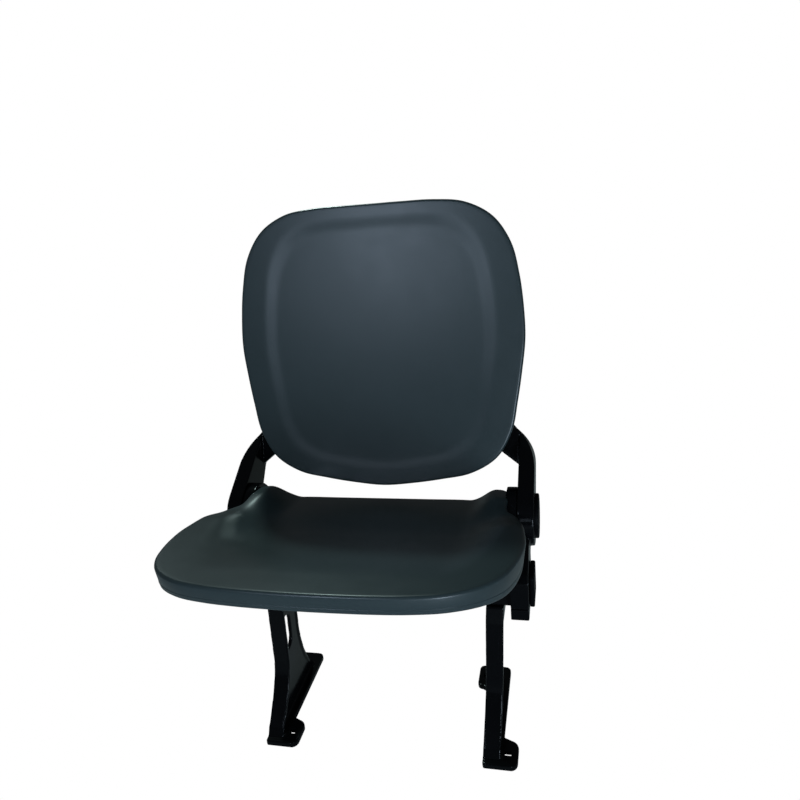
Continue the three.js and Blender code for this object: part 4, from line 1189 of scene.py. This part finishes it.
def grained_material(name, look):
    material = bpy.data.materials.new(name)
    material.use_nodes = True
    shader = material.node_tree.nodes["Principled BSDF"]
    shader.inputs["Metallic"].default_value = look.get("metallic", 0)
    shader.inputs["Specular IOR Level"].default_value = look.get("specular", PLAIN_SPECULAR)
    vary_colour(material, look)
    vary_roughness(material, look)
    add_grain(material, look)
    return material


# Camera and light

# Places and sizes in metres, power in watts
LIGHTS = {
    "key": {
        "place": (-0.62, 1.22, 1.95), "target": (0, 0, 0.4), "width": 0.15, "height": 0.15, "power": 12,
        "colour": (0.76, 1, 0.97),
    },
    "front": {
        "place": (-0.46, -1.6, 1.42), "target": (0, 0.15, 0.6), "width": 0.15, "height": 0.7, "power": 7,
        "colour": (0.66, 0.8, 1),
    },
    "fill": {
        "place": (0.9, -1.5, 0.35), "target": (0, 0, 0.4), "width": 0.5, "height": 0.5, "power": 13.5,
        "colour": (0.7, 0.84, 1),
    },
    "side": {
        "place": (-1.2, 1.1, 1.05), "target": (-0.1, 0, 0.4), "width": 0.3, "height": 0.3, "power": 0.3,
        "colour": (0.8, 1, 1),
    },
}
WORLD_SEEN = 1.0
WORLD_LIGHT = 0.06
FLOOR_GREY = (0.6, 0.6, 0.6)
FLOOR_ROUGHNESS = 0.9
FLOOR_REACH = 12
WHITE = (1, 1, 1)


def add_camera():
    yaw, pitch, roll = (math.radians(t) for t in (CAMERA_YAW, CAMERA_PITCH, CAMERA_ROLL))
    ahead = Vector((math.sin(yaw) * math.cos(pitch), math.cos(yaw) * math.cos(pitch), -math.sin(pitch)))
    right = Vector((math.cos(yaw), -math.sin(yaw), 0))
    up = right.cross(ahead)
    across = right * math.cos(roll) + up * math.sin(roll)
    upward = up * math.cos(roll) - right * math.sin(roll)
    turn = Matrix((across, upward, -ahead)).transposed().to_4x4()
    place = Matrix.Translation(Vector((CAMERA_X, BEAM_Y - CAMERA_BEFORE_BEAM, CAMERA_Z)) * MM)
    data = bpy.data.cameras.new("camera")
    data.lens = LENS_MM
    data.sensor_width = SENSOR_MM
    camera = bpy.data.objects.new("camera", data)
    camera.matrix_world = place @ turn
    bpy.context.scene.collection.objects.link(camera)
    bpy.context.scene.camera = camera


def add_area(name, light):
    data = bpy.data.lights.new(name, "AREA")
    data.shape = "RECTANGLE"
    data.size = light["width"]
    data.size_y = light["height"]
    data.energy = light["power"]
    data.color = light["colour"]
    lamp = bpy.data.objects.new(name, data)
    lamp.location = light["place"]
    aim = Vector(light["target"]) - Vector(light["place"])
    lamp.rotation_euler = aim.to_track_quat("-Z", "Y").to_euler()
    bpy.context.scene.collection.objects.link(lamp)


def add_world():
    """White to the camera and dim to everything else."""
    world = bpy.data.worlds.new("world")
    world.use_nodes = True
    nodes, links = world.node_tree.nodes, world.node_tree.links
    background = nodes["Background"]
    background.inputs["Color"].default_value = (*WHITE, 1)
    path = nodes.new("ShaderNodeLightPath")
    strength = nodes.new("ShaderNodeMapRange")
    strength.inputs["To Min"].default_value = WORLD_LIGHT
    strength.inputs["To Max"].default_value = WORLD_SEEN
    links.new(path.outputs["Is Camera Ray"], strength.inputs["Value"])
    links.new(strength.outputs["Result"], background.inputs["Strength"])
    bpy.context.scene.world = world


def add_floor():
    """White to the camera and grey to everything else."""
    material = bpy.data.materials.new("floor")
    material.use_nodes = True
    nodes, links = material.node_tree.nodes, material.node_tree.links
    shader = nodes["Principled BSDF"]
    shader.inputs["Base Color"].default_value = (*FLOOR_GREY, 1)
    shader.inputs["Roughness"].default_value = FLOOR_ROUGHNESS
    glow = nodes.new("ShaderNodeEmission")
    glow.inputs["Color"].default_value = (*WHITE, 1)
    path = nodes.new("ShaderNodeLightPath")
    blend = nodes.new("ShaderNodeMixShader")
    links.new(path.outputs["Is Camera Ray"], blend.inputs["Fac"])
    links.new(shader.outputs[0], blend.inputs[1])
    links.new(glow.outputs[0], blend.inputs[2])
    links.new(blend.outputs[0], nodes["Material Output"].inputs["Surface"])
    reach = FLOOR_REACH
    corners = [(-reach, -reach, 0), (reach, -reach, 0), (reach, reach, 0), (-reach, reach, 0)]
    mesh = bpy.data.meshes.new("floor")
    mesh.from_pydata(corners, [], [(0, 1, 2, 3)])
    mesh.materials.append(material)
    floor = bpy.data.objects.new("floor", mesh)
    bpy.context.scene.collection.objects.link(floor)


def dress_nodes():
    """Every node takes the finish of its slot."""
    for entry in frame["record"]["subparts"]:
        node = frame["nodes"][entry["node"]]
        node.data.materials.clear()
        node.data.materials.append(materials[entry["material_slot"]])


bpy.context.scene.view_settings.view_transform = "Standard"
add_camera()
add_world()
add_floor()
for light_name, light in LIGHTS.items():
    add_area(light_name, light)

materials = {name: grained_material(name, look) for name, look in LOOKS.items()}
dress_nodes()

seat_panel()
back_panel()
hinge_arms()
back_arms()
clamp_jaws()
legs()
main_beam()
beam_caps()
pivot_caps()
pivot_pins()
pivot_clips()
pivot_bushes()
stop_buffers()
leg_bolts()
clamp_bolts()
seat_screws()
back_screws()
